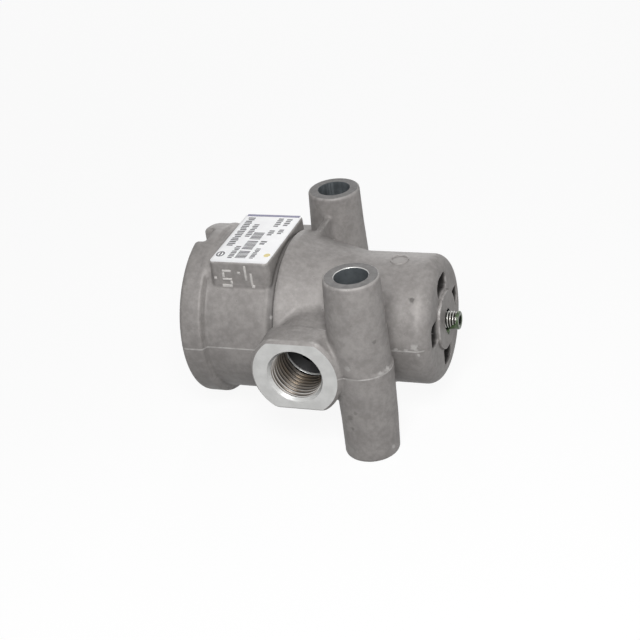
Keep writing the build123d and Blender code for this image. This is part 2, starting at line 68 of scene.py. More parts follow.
class Shading:
    """The node tree of one material, built one node at a time."""

    def __init__(self, name: str) -> None:
        """Start a material with its shader, its output and the object's own coordinates.

        Args:
            name: the material's name.
        """
        self.material = bpy.data.materials.new(name)
        self.material.use_nodes = True
        self.tree = self.material.node_tree
        self.shader = self.tree.nodes["Principled BSDF"]
        self.place = self.add("ShaderNodeTexCoord").outputs["Object"]

    def add(self, kind: str, **settings: object) -> bpy.types.Node:
        """Add a node and set its properties.

        Args:
            kind: the node's type name.
            settings: properties of the node by name.

        Returns:
            The new node.
        """
        node = self.tree.nodes.new(kind)
        for key, value in settings.items():
            setattr(node, key, value)
        return node

    def wire(self, socket: bpy.types.NodeSocket, value: object) -> None:
        """Set an input to a plain value, or link it to another node's output.

        Args:
            socket: the input to set.
            value: a number, a colour, or another node's output.
        """
        if isinstance(value, bpy.types.NodeSocket):
            self.tree.links.new(value, socket)
        elif isinstance(value, tuple) and socket.type == "RGBA":
            socket.default_value = (*value[:3], 1.0)
        else:
            socket.default_value = value

    def maths(self, operation: str, *values: object) -> bpy.types.NodeSocket:
        """Work out one sum of numbers or outputs.

        Args:
            operation: the name of the Math node's operation.
            values: its inputs in order, each a number or an output.

        Returns:
            The result.
        """
        node = self.add("ShaderNodeMath", operation=operation)
        for socket, value in zip(node.inputs, values):
            self.wire(socket, value)
        return node.outputs[0]

    def noise(self, grain_mm: float, detail: float = 3.0) -> bpy.types.NodeSocket:
        """Make a cloudy pattern of one grain size.

        Args:
            grain_mm: the size of its largest blotches in millimetres.
            detail: how many finer layers it has.

        Returns:
            The pattern, around 0.5.
        """
        node = self.add("ShaderNodeTexNoise")
        self.wire(node.inputs["Vector"], self.place)
        node.inputs["Scale"].default_value = 1.0 / (grain_mm * MM)
        node.inputs["Detail"].default_value = detail
        node.inputs["Roughness"].default_value = 0.62
        return node.outputs["Fac"]

    def ramp(self, value: bpy.types.NodeSocket, low: float, high: float) -> bpy.types.NodeSocket:
        """Stretch a value so that low gives 0 and high gives 1, with soft ends.

        Args:
            value: the value to stretch.
            low: the value that gives 0.
            high: the value that gives 1.

        Returns:
            The stretched value, from 0 to 1.
        """
        node = self.add("ShaderNodeMapRange", interpolation_type="SMOOTHSTEP")
        self.wire(node.inputs["Value"], value)
        node.inputs["From Min"].default_value = low
        node.inputs["From Max"].default_value = high
        return node.outputs["Result"]

    def spot(self, centre_mm: Place, size_mm: float) -> bpy.types.NodeSocket:
        """Mask a ragged spot round a place.

        Args:
            centre_mm: the spot's middle in millimetres.
            size_mm: its rough radius in millimetres.

        Returns:
            The mask: 1 in the spot's middle and 0 outside it.
        """
        grain_mm, ragged, reach = 0.9, 1.4, 1.55
        size = size_mm * MM
        node = self.add("ShaderNodeVectorMath", operation="DISTANCE")
        self.wire(node.inputs[0], self.place)
        node.inputs[1].default_value = tuple(v * MM for v in centre_mm)
        away = self.maths("MULTIPLY_ADD", self.noise(grain_mm), ragged * size, node.outputs["Value"])
        return self.ramp(away, reach * size, size)

    def mix(self, share: object, first: object, second: object) -> bpy.types.NodeSocket:
        """Blend two colours.

        Args:
            share: how much of the second colour shows, from 0 to 1.
            first: the colour at 0.
            second: the colour at 1.

        Returns:
            The blended colour.
        """
        node = self.add("ShaderNodeMix", data_type="RGBA")
        self.wire(node.inputs["Factor"], share)
        self.wire(node.inputs["A"], first)
        self.wire(node.inputs["B"], second)
        return node.outputs["Result"]

    def attribute(self, name: str) -> bpy.types.NodeSocket:
        """Read a number stored on the mesh's points."""
        return self.add("ShaderNodeAttribute", attribute_name=name).outputs["Fac"]

    def axes(self) -> list[bpy.types.NodeSocket]:
        """Split the object's coordinates.

        Returns:
            Its x, y and z, in metres.
        """
        node = self.add("ShaderNodeSeparateXYZ")
        self.wire(node.inputs[0], self.place)
        return list(node.outputs)

    def relief(self, height: bpy.types.NodeSocket, depth_mm: float, strength: float) -> None:
        """Give the shader a bump, laid over the bumps it has already.

        Args:
            height: the pattern that stands up where it is 1.
            depth_mm: how far it stands up, in millimetres.
            strength: how strongly it tilts the light, from 0 to 1.
        """
        node = self.add("ShaderNodeBump")
        self.wire(node.inputs["Height"], height)
        node.inputs["Distance"].default_value = depth_mm * MM
        node.inputs["Strength"].default_value = strength
        before = self.shader.inputs["Normal"].links
        if before:
            self.wire(node.inputs["Normal"], before[0].from_socket)
        self.wire(self.shader.inputs["Normal"], node.outputs["Normal"])

    def surface(self, **inputs: object) -> bpy.types.Material:
        """Set the shader's inputs.

        Args:
            inputs: the inputs by name, with _ for a space.

        Returns:
            The finished material.
        """
        for name, value in inputs.items():
            self.wire(self.shader.inputs[name.replace("_", " ")], value)
        return self.material


@dataclass(frozen=True)
class CastAluminium:
    """Tumbled die casting: mottled matt grey, worn light on its edges, and darker in its corners with
    painted shade.

    Its points carry three numbers: "edge" and "hollow", how sharply the surface bends outwards
    or inwards, and "deep", how far it lies in a groove or vent, which sets its painted shade. Sizes are in
    millimetres.
    """

    name: str = "cast_aluminium_painted_light"
    light: Colour = (0.325, 0.308, 0.298)
    dark: Colour = (0.238, 0.225, 0.217)
    wear_and_highlight: Colour = (0.60, 0.585, 0.57)
    soil_and_shade: Colour = (0.11, 0.103, 0.098)
    unlit: Colour = (0.028, 0.026, 0.025)
    cloud: float = 7.0
    mottle: float = 1.6
    pit: float = 0.8
    rub: float = 2.6
    grain: float = 0.34
    dimple: float = 2.2
    corner_shade_share: float = 0.45
    pit_share: float = 0.55
    unlit_share: float = 0.9
    parting_half: tuple[float, float] = (0.32, 0.08)
    parting_end: tuple[float, float] = (26.8, 25.8)
    dents: tuple = (
        ((22.8, -13.3, 40.9), 1.25, 0.85),
        ((22.2, -12.6, 42.0), 0.6, 0.8),
        ((8.6, -34.05, 14.6), 1.4, 0.45),
        ((10.6, -34.4, 16.6), 0.9, 0.4),
        ((8.8, -34.1, 11.0), 0.9, 0.4),
        ((17.5, -31.5, 38.0), 0.9, 0.5),
        ((12.5, -34.8, 44.0), 0.8, 0.5),
    )
    # rubbed patches, and painted highlights where light catches the parting ledge and the narrow end
    rubs_and_highlights: tuple = (
        ((28.45, -6.4, 33.9), 1.7, 0.5),
        ((18.5, -18.6, 27.9), 1.0, 0.5),
        ((21.4, -18.6, 27.9), 0.9, 0.45),
        ((24.0, -18.5, 28.9), 1.6, 0.5),
        ((24.9, -18.5, 26.6), 0.8, 0.5),
        ((17.5, -31.2, 27.7), 1.6, 0.4),
        ((18.9, -28.8, 28.1), 1.4, 0.5),
        ((-16.5, -20.5, 37.0), 0.9, 0.4),
        ((18.6, -29.5, 3.0), 1.0, 0.5),
        ((10.0, -34.9, 31.0), 1.3, 0.25),
    )

    def mottled(self, s: Shading) -> bpy.types.NodeSocket:
        """Colour the skin with its clouds, painted shade in its corners, grooves and vents, pits and dents.

        Args:
            s: the material's node tree.

        Returns:
            The colour before wear.
        """
        fine = s.maths("MULTIPLY", s.noise(self.mottle, 4.0), 0.5)
        blotch = s.maths("MULTIPLY_ADD", s.noise(self.cloud, 4.0), 0.5, fine)
        colour = s.mix(s.ramp(blotch, 0.34, 0.66), self.dark, self.light)
        # painted shade: the skin darkens where it bends inwards, in corners and creases
        corner = s.ramp(s.attribute("hollow"), 0.25, 1.6)
        colour = s.mix(s.maths("MULTIPLY", corner, self.corner_shade_share), colour, self.soil_and_shade)
        pits = s.ramp(s.noise(self.pit, 2.0), 0.70, 0.76)
        colour = s.mix(s.maths("MULTIPLY", pits, self.pit_share), colour, self.soil_and_shade)
        # painted shade: nearly black in the groove by the lip and inside the vents
        colour = s.mix(s.maths("MULTIPLY", s.attribute("deep"), self.unlit_share), colour, self.unlit)
        for place, size, depth in self.dents:
            colour = s.mix(s.maths("MULTIPLY", s.spot(place, size), depth), colour, self.soil_and_shade)
        return colour

    def parting(self, s: Shading, rubbed: bpy.types.NodeSocket) -> bpy.types.NodeSocket:
        """Mask the thin flash line where the halves of the mould met.

        Args:
            s: the material's node tree.
            rubbed: the pattern of wear.

        Returns:
            How much of the line's bare metal shows, from 0 to 1.
        """
        x, _, z = s.axes()
        height = s.maths("ABSOLUTE", s.maths("SUBTRACT", z, AXIS_Z * MM))
        line = s.ramp(height, *(edge * MM for edge in self.parting_half))
        line = s.maths("MULTIPLY", line, s.maths("MULTIPLY_ADD", rubbed, 0.45, 0.3))
        return s.maths("MULTIPLY", line, s.ramp(x, *(edge * MM for edge in self.parting_end)))

    def material(self) -> bpy.types.Material:
        """Build the material with its mottling, edge wear, parting line and fine grain.

        Returns:
            The material.
        """
        s = Shading(self.name)
        colour = self.mottled(s)
        rubbed = s.ramp(s.noise(self.rub), 0.38, 0.62)
        edge = s.ramp(s.attribute("edge"), 0.8, 2.6)
        edge = s.maths("MULTIPLY", edge, s.maths("MULTIPLY_ADD", rubbed, 0.45, 0.05))
        flash = self.parting(s, rubbed)
        bright = s.maths("MAXIMUM", edge, flash)
        # painted highlights among real rubs: spots lightened towards the light wear colour
        for place, size, share in self.rubs_and_highlights:
            bright = s.maths("MAXIMUM", bright, s.maths("MULTIPLY", s.spot(place, size), share))
        colour = s.mix(s.maths("MINIMUM", bright, 1.0), colour, self.wear_and_highlight)
        rough = s.maths("MULTIPLY_ADD", s.noise(1.2, 2.0), 0.14, 0.48)
        s.relief(s.noise(self.grain, 2.0), 0.045, 0.5)
        s.relief(s.noise(self.dimple), 0.15, 0.5)
        s.relief(flash, 0.10, 0.6)
        return s.surface(Base_Color=colour, Roughness=rough, Metallic=0.15, Specular_IOR_Level=0.25)


@dataclass(frozen=True)
class TurnedAluminium:
    """Bright machined aluminium with fine rings round each port. Sizes are in millimetres."""

    base: Colour = (0.62, 0.62, 0.61)
    dull: Colour = (0.54, 0.54, 0.53)
    ring_pitch: float = 0.32
    ring_depth: float = 0.012

    def material(self) -> bpy.types.Material:
        """Build the material, with its rings centred on the port of each side.

        Returns:
            The material.
        """
        s = Shading("turned_aluminium_finish")
        x, y, z = s.axes()
        rear = s.maths("GREATER_THAN", y, 0.0)
        centre = s.maths("MULTIPLY_ADD", rear, (INLET_X - OUTLET_X) * MM, OUTLET_X * MM)
        across = s.maths("SUBTRACT", x, centre)
        up = s.maths("SUBTRACT", z, AXIS_Z * MM)
        squares = s.maths("ADD", s.maths("MULTIPLY", across, across), s.maths("MULTIPLY", up, up))
        turns = s.maths("MULTIPLY", s.maths("SQRT", squares), 2 * math.pi / (self.ring_pitch * MM))
        colour = s.mix(s.ramp(s.noise(3.0), 0.3, 0.7), self.dull, self.base)
        s.relief(s.maths("SINE", turns), self.ring_depth, 0.35)
        s.relief(s.noise(0.5, 2.0), 0.02, 0.3)
        return s.surface(Base_Color=colour, Roughness=0.4, Metallic=0.45, Specular_IOR_Level=0.35)


@dataclass(frozen=True)
class CutThread:
    """Cut thread: bright on its crests, and dark and slightly brown down in its roots, where the dark is
    painted shade.

    Its points carry "root", how deep each lies in the thread, from 0 to 1.
    """

    name: str = "cut_thread_painted_shade"
    crest: Colour = (0.62, 0.60, 0.58)
    flank: Colour = (0.13, 0.115, 0.10)
    root: Colour = (0.02, 0.018, 0.016)
    stain: Colour = (0.12, 0.085, 0.05)

    def material(self) -> bpy.types.Material:
        """Build the material, with painted shade from how deep each point lies in the thread.

        Returns:
            The material.
        """
        s = Shading(self.name)
        deep = s.attribute("root")
        # painted shade: the crest colour darkens to the flank and then the root colour
        colour = s.mix(s.ramp(deep, 0.0, 0.5), self.crest, self.flank)
        colour = s.mix(s.ramp(deep, 0.45, 1.0), colour, self.root)
        stained = s.ramp(s.noise(6.0, 2.0), 0.45, 0.7)
        colour = s.mix(s.maths("MULTIPLY", stained, 0.25), colour, self.stain)
        s.relief(s.noise(0.3, 2.0), 0.01, 0.3)
        return s.surface(Base_Color=colour, Roughness=0.3, Metallic=0.9, Specular_IOR_Level=0.3)


@dataclass(frozen=True)
class Metal:
    """Plain metal with slight clouds in its colour and gloss. Sizes are in millimetres."""

    name: str
    base: Colour
    shade: Colour
    roughness: float = 0.3
    metallic: float = 1.0
    cloud: float = 2.0
    bump: float = 0.01

    def material(self) -> bpy.types.Material:
        """Build the material.

        Returns:
            The material.
        """
        s = Shading(self.name)
        colour = s.mix(s.ramp(s.noise(self.cloud), 0.32, 0.68), self.shade, self.base)
        rough = s.maths("MULTIPLY_ADD", s.noise(self.cloud * 0.6, 2.0), 0.2, self.roughness - 0.1)
        s.relief(s.noise(0.3, 2.0), self.bump, 0.4)
        return s.surface(Base_Color=colour, Roughness=rough, Metallic=self.metallic)


@dataclass(frozen=True)
class Coating:
    """Rubber, plastic, film, ink or lacquer, with a fine grain. Sizes are in millimetres."""

    name: str
    base: Colour
    shade: Colour
    roughness: float = 0.45
    grain: float = 0.5
    bump: float = 0.01
    coat: float = 0.0

    def material(self) -> bpy.types.Material:
        """Build the material.

        Returns:
            The material.
        """
        s = Shading(self.name)
        colour = s.mix(s.ramp(s.noise(self.grain * 4), 0.3, 0.7), self.shade, self.base)
        s.relief(s.noise(self.grain, 2.0), self.bump, 0.4)
        return s.surface(Base_Color=colour, Roughness=self.roughness, Coat_Weight=self.coat)


def plain_metal(name: str, base: Colour, shade: Colour, **more: float) -> bpy.types.Material:
    """Make a plain metal from its name, its two colours and what else differs."""
    return Metal(name, base, shade, **more).material()


def coating(name: str, base: Colour, shade: Colour, **more: float) -> bpy.types.Material:
    """Make a coating from its name, its two colours and what else differs."""
    return Coating(name, base, shade, **more).material()


CAST = CastAluminium().material()
RUBBED = CastAluminium("rubbed_cast_finish", (0.66, 0.64, 0.62), (0.46, 0.445, 0.43)).material()
TURNED = TurnedAluminium().material()
# painted shade: dark blue grey for the walls of the bolt holes and the screw hole
DRILLED = plain_metal(
    "drilled_bore_painted_shade",
    (0.075, 0.085, 0.092),
    (0.045, 0.052, 0.057),
    roughness=0.75,
    metallic=0.15,
    cloud=4.0,
    bump=0.02,
)
THREAD = CutThread().material()
# painted shade: near black for the spring chamber and the port bores, which lie out of the light
DARK = plain_metal(
    "inner_bore_painted_shade",
    (0.03, 0.03, 0.031),
    (0.016, 0.016, 0.017),
    roughness=0.5,
    metallic=0.3,
    cloud=4.0,
    bump=0.02,
)
# darker than the cast skin: partly the faced ends' own finish, partly painted shade of faces turned upwards
FACED = plain_metal(
    "faced_boss_finish_and_shade",
    (0.165, 0.16, 0.157),
    (0.12, 0.116, 0.114),
    roughness=0.68,
    metallic=0.1,
    cloud=1.6,
    bump=0.03,
)
ZINC = plain_metal("zinc_plate_finish", (0.62, 0.62, 0.60), (0.46, 0.46, 0.45), roughness=0.26)
SPRING = plain_metal("spring_wire_finish", (0.20, 0.20, 0.21), (0.10, 0.10, 0.11), roughness=0.34)
BRASS = plain_metal("brass_finish", (0.66, 0.50, 0.25), (0.52, 0.38, 0.18), roughness=0.28)
SCREW = CutThread(
    "screw_thread_painted_shade", (0.60, 0.60, 0.57), (0.30, 0.30, 0.29), (0.05, 0.05, 0.05)
).material()
PISTON = plain_metal("piston_finish", (0.60, 0.60, 0.59), (0.50, 0.50, 0.49), roughness=0.32, metallic=0.9)
RUBBER = coating("rubber_finish", (0.022, 0.022, 0.023), (0.012, 0.012, 0.013), roughness=0.5)
NYLON = coating("guide_ring_finish", (0.70, 0.67, 0.56), (0.62, 0.59, 0.48))
FILM = coating(
    "label_film_finish", (0.92, 0.92, 0.93), (0.87, 0.87, 0.885), roughness=0.4, grain=0.8, bump=0.004
)
INK = coating("label_ink_finish", (0.055, 0.055, 0.065), (0.035, 0.035, 0.042), roughness=0.5)
STRIPE = coating("label_stripe_finish", (0.045, 0.04, 0.16), (0.035, 0.03, 0.13), roughness=0.4)
SPOT = coating("label_spot_finish", (0.72, 0.60, 0.20), (0.66, 0.54, 0.22))
LACQUER = coating(
    "seal_lacquer_finish",
    (0.06, 0.11, 0.035),
    (0.018, 0.035, 0.014),
    roughness=0.35,
    grain=0.25,
    bump=0.03,
    coat=0.3,
)


def mesh_object(
    name: str, points: np.ndarray, faces: list | np.ndarray, *finishes: bpy.types.Material
) -> bpy.types.Object:
    """Make an object from points in millimetres.

    Args:
        name: the piece's name.
        points: its points as rows of x, y and z.
        faces: its faces as lists of point numbers.
        finishes: its materials, in the order of their slots.

    Returns:
        The new object, linked to the scene.
    """
    mesh = bpy.data.meshes.new(name)
    corners = faces.tolist() if isinstance(faces, np.ndarray) else faces
    mesh.from_pydata((np.asarray(points, float) * MM).tolist(), [], corners)
    mesh.update()
    for finish in finishes:
        mesh.materials.append(finish)
    obj = bpy.data.objects.new(name, mesh)
    bpy.context.scene.collection.objects.link(obj)
    return obj


def quad_grid(
    rows: int, columns: int, close_rows: bool = False, close_ends: bool = False
) -> list[list[int]]:
    """Join a grid of points with quads.

    Args:
        rows: how many rows of points there are.
        columns: how many points each row has.
        close_rows: whether each row's last point joins its first.
        close_ends: whether the last row joins the first.

    Returns:
        The quads as lists of point numbers.
    """
    faces = []
    for row in range(rows if close_ends else rows - 1):
        here, ahead = row * columns, (row + 1) % rows * columns
        for i in range(columns if close_rows else columns - 1):
            j = (i + 1) % columns
            faces.append([here + i, here + j, ahead + j, ahead + i])
    return faces


def round_axis(along: float, radius: float, angle: float) -> Place:
    """Place a point round the valve's own axis, at an angle in radians from the back."""
    return along, radius * math.cos(angle), AXIS_Z + radius * math.sin(angle)


def turned(name: str, profile: Outline, place: Matrix, sides: int = 128) -> bpy.types.Object:
    """Turn a profile that starts and ends on its axis into a closed mesh.

    Args:
        name: the piece's name.
        profile: pairs of a place along the axis and a radius, in millimetres.
        place: takes the axis from +X at the origin to where it belongs, in millimetres.
        sides: how many flats stand for the round.

    Returns:
        The closed mesh as an object.
    """
    points, faces, rings = [], [], []
    for along, radius in profile:
        first = len(points)
        if radius < 1e-6:
            points.append(place @ Vector((along, 0, 0)))
            rings.append([first] * sides)
            continue
        for i in range(sides):
            angle = 2 * math.pi * i / sides
            points.append(place @ Vector((along, radius * math.cos(angle), radius * math.sin(angle))))
        rings.append([first + i for i in range(sides)])
    for ring, following in zip(rings, rings[1:]):
        for i in range(sides):
            j = (i + 1) % sides
            loop = [ring[i], ring[j], following[j], following[i]]
            face = [v for k, v in enumerate(loop) if v != loop[k - 1]]
            if len(face) > 2:
                faces.append(face)
    obj = mesh_object(name, np.array([list(p) for p in points]), faces)
    make_outward(obj)
    return obj


def store(obj: bpy.types.Object, name: str, values: list | np.ndarray) -> None:
    """Keep one number for each point of a mesh, for its finish to read."""
    layer = obj.data.attributes.new(name, "FLOAT", "POINT")
    layer.data.foreach_set("value", np.asarray(values, np.float32))


def make_outward(obj: bpy.types.Object) -> None:
    """Turn all faces of a closed mesh outwards.

    Args:
        obj: the object to mend.
    """
    shape = bmesh.new()
    shape.from_mesh(obj.data)
    bmesh.ops.remove_doubles(shape, verts=shape.verts, dist=1e-8)
    bmesh.ops.recalc_face_normals(shape, faces=shape.faces)
    if shape.calc_volume(signed=True) < 0:
        bmesh.ops.reverse_faces(shape, faces=shape.faces)
    shape.to_mesh(obj.data)
    shape.free()


def cut(obj: bpy.types.Object, cutter: bpy.types.Object, ground: Ground = Ground.CAST) -> None:
    """Take the cutter out of the object, and mark the new faces.

    Args:
        obj: the object to cut, which keeps its place.
        cutter: a closed mesh, which is removed afterwards.
        ground: what the cut faces show, by material slot.
    """
    cutter.data.materials.clear()
    for slot in obj.data.materials:
        cutter.data.materials.append(slot)
    cutter.data.polygons.foreach_set("material_index", [ground.value] * len(cutter.data.polygons))
    modifier = obj.modifiers.new("cut", "BOOLEAN")
    modifier.operation = "DIFFERENCE"
    modifier.solver = "MANIFOLD"
    modifier.object = cutter
    bake(obj)
    bpy.data.objects.remove(cutter)


def bake(obj: bpy.types.Object) -> None:
    """Apply all modifiers of an object to its mesh.

    Args:
        obj: the object, which keeps its place.
    """
    graph = bpy.context.evaluated_depsgraph_get()
    mesh = bpy.data.meshes.new_from_object(obj.evaluated_get(graph))
    old = obj.data
    obj.modifiers.clear()
    obj.data = mesh
    bpy.data.meshes.remove(old)
    mesh.name = obj.name


def smooth(obj: bpy.types.Object, angle: float = 40.0) -> None:
    """Shade an object smooth, with hard edges at corners and between two finishes.

    Args:
        obj: the object to shade.
        angle: the bend in degrees above which an edge stays hard.
    """
    obj.data.shade_smooth()
    obj.data.set_sharp_from_angle(angle=math.radians(angle))
    shape = bmesh.new()
    shape.from_mesh(obj.data)
    for edge in shape.edges:
        if len({face.material_index for face in edge.link_faces}) > 1:
            edge.smooth = False
    shape.to_mesh(obj.data)
    shape.free()


def dress(node: str, finish: bpy.types.Material) -> None:
    """Give a CAD node its finish.

    Args:
        node: the node's name.
        finish: the material that takes the place of its own.
    """
    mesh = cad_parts[node].data
    mesh.materials.clear()
    mesh.materials.append(finish)


def settle(obj: bpy.types.Object, body: str, slot: str, *nodes: str) -> bpy.types.Object:
    """Let a piece ride on a body, and let it stand for CAD nodes.

    Args:
        obj: the finished piece.
        body: the CAD body that it moves with.
        slot: the record's material slot, not used.
        nodes: the CAD nodes that it stands for, if any.

    Returns:
        The piece.
    """
    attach(obj, body)
    if nodes:
        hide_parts(*nodes)
    log.info("%s: %d faces on %s", obj.name, len(obj.data.polygons), body)
    return obj


def round_join(first: np.ndarray, second: np.ndarray, radius: float) -> np.ndarray:
    """Join two distance fields with a circular fillet in the corner between them."""
    near = np.hypot(np.maximum(radius - first, 0), np.maximum(radius - second, 0))
    return np.maximum(radius, np.minimum(first, second)) - near


def round_meet(first: np.ndarray, second: np.ndarray, radius: float) -> np.ndarray:
    """Keep what two distance fields share, with a rounded edge."""
    return -round_join(-first, -second, radius)


def box_field(offsets: list[np.ndarray], halves: tuple[float, ...], radius: float) -> np.ndarray:
    """Work out the distance to a box with rounded edges.

    Args:
        offsets: offsets from the box's middle along each of its axes.
        halves: its half sizes along the same axes.
        radius: the radius of its edges.

    Returns:
        The distances, negative inside.
    """
    past = [np.abs(offset) - (half - radius) for offset, half in zip(offsets, halves)]
    outside = np.sqrt(sum(np.maximum(side, 0) ** 2 for side in past))
    inside = np.minimum(np.maximum.reduce(past), 0)
    return outside + inside - radius


def rounded_outline(corners: list[tuple[float, float, float]], steps: int = 25) -> np.ndarray:
    """Draw an outline with an arc of the given radius at each corner.

    Args:
        corners: place, height and corner radius of each corner.
        steps: how many points each arc gets.

    Returns:
        The outline's points as rows.
    """
    points = []
    spots = [np.array(corner[:2], float) for corner in corners]
    for i, (*_, radius) in enumerate(corners):
        here = spots[i]
        if radius <= 0 or i in (0, len(corners) - 1):
            points.append(here)
            continue
        back, ahead = spots[i - 1] - here, spots[i + 1] - here
        back, ahead = back / np.linalg.norm(back), ahead / np.linalg.norm(ahead)
        half = math.acos(float(np.clip(back @ ahead, -1, 1))) / 2
        reach = radius / math.tan(half)
        middle = (back + ahead) / np.linalg.norm(back + ahead)
        centre = here + middle * radius / math.sin(half)
        start, end = here + back * reach - centre, here + ahead * reach - centre
        for share in np.linspace(0, 1, steps):
            spoke = start * (1 - share) + end * share
            points.append(centre + spoke / np.linalg.norm(spoke) * radius)
    return np.array(points)


class ProfileTable:
    """Signed distance to a turned outline, worked out once on a fine table."""

    def __init__(
        self, outline: np.ndarray, step: float = 0.1, margin: float = 8.0, outwards: float = 22.0
    ) -> None:
        """Work out the table.

        Args:
            outline: points of place and radius, from the axis to the axis.
            step: spacing of the table in millimetres.
            margin: how far the table reaches past the outline's ends.
            outwards: how far it reaches past the outline, away from the axis.
        """
        self.step = step
        self.start = outline[:, 0].min() - margin
        along = np.arange(self.start, outline[:, 0].max() + margin, step)
        out = np.arange(0.0, outline[:, 1].max() + outwards, step)
        px, pr = np.meshgrid(along, out, indexing="ij")
        best = np.full(px.shape, 1e9)
        inside = np.zeros(px.shape, bool)
        for (ax, ar), (bx, br) in zip(outline, outline[1:]):
            dx, dr = bx - ax, br - ar
            share = np.clip(((px - ax) * dx + (pr - ar) * dr) / (dx * dx + dr * dr + 1e-12), 0, 1)
            best = np.minimum(best, np.hypot(px - ax - share * dx, pr - ar - share * dr))
            if abs(dx) > 1e-9:
                crossed = (px >= min(ax, bx)) & (px < max(ax, bx))
                inside ^= crossed & (pr < ar + (px - ax) * dr / dx)
        self.values = np.where(inside, -best, best)

    def distance(self, along: np.ndarray, radius: np.ndarray) -> np.ndarray:
        """Look up distances in the table.

        Args:
            along: places along the axis.
            radius: distances from the axis.

        Returns:
            The distances to the outline, negative inside.
        """
        rows, columns = self.values.shape
        u = np.clip((along - self.start) / self.step, 0, rows - 1.001)
        v = np.clip(radius / self.step, 0, columns - 1.001)
        i, j = u.astype(np.int32), v.astype(np.int32)
        fu, fv = u - i, v - j
        low = self.values[i, j] * (1 - fu) + self.values[i + 1, j] * fu
        high = self.values[i, j + 1] * (1 - fu) + self.values[i + 1, j + 1] * fu
        return low * (1 - fv) + high * fv


def surface_net(values: np.ndarray, start: np.ndarray, step: float) -> tuple[np.ndarray, np.ndarray]:
    """Wrap a quad mesh round the zero level of a grid of distances.

    Args:
        values: distances at the grid's points, negative inside.
        start: place of the grid's first point.
        step: spacing of the grid.

    Returns:
        Points, and quads as rows of four point numbers.
    """
    inside = values < 0
    nx, ny, nz = values.shape
    corners = [(i, j, k) for i in (0, 1) for j in (0, 1) for k in (0, 1)]
    shifted = (inside[i : nx - 1 + i, j : ny - 1 + j, k : nz - 1 + k] for i, j, k in corners)
    total = sum(part.astype(np.int8) for part in shifted)
    cells = np.argwhere((total > 0) & (total < 8))
    number = np.full((nx - 1, ny - 1, nz - 1), -1, np.int64)
    number[tuple(cells.T)] = np.arange(len(cells))
    spot, count = np.zeros((len(cells), 3)), np.zeros(len(cells))
    for a in corners:
        for axis in range(3):
            if a[axis]:
                continue
            b = tuple(c + (n == axis) for n, c in enumerate(a))
            va = values[tuple((cells + a).T)]
            vb = values[tuple((cells + b).T)]
            crossed = (va < 0) != (vb < 0)
            share = va[crossed] / (va[crossed] - vb[crossed])
            spot[crossed] += np.array(a) + (np.array(b) - a) * share[:, None]
            count[crossed] += 1
    points = start + (cells + spot / count[:, None]) * step
    quads = []
    for axis in range(3):
        ahead = np.roll(inside, -1, axis)
        change = inside != ahead
        change[tuple(-1 if n == axis else slice(None) for n in range(3))] = False
        edges = np.argwhere(change)
        others = [n for n in range(3) if n != axis]
        keep = np.all([(edges[:, n] > 0) & (edges[:, n] < values.shape[n] - 1) for n in others], axis=0)
        edges = edges[keep]
        ring = []
        for dj, dk in ((-1, -1), (0, -1), (0, 0), (-1, 0)):
            cell = edges.copy()
            cell[:, others[0]] += dj
            cell[:, others[1]] += dk
            ring.append(number[tuple(cell.T)])
        quad = np.stack(ring, 1)
        flip = inside[tuple(edges.T)] == (axis == 1)
        quad[flip] = quad[flip][:, ::-1]
        quads.append(quad)
    return points, np.concatenate(quads)


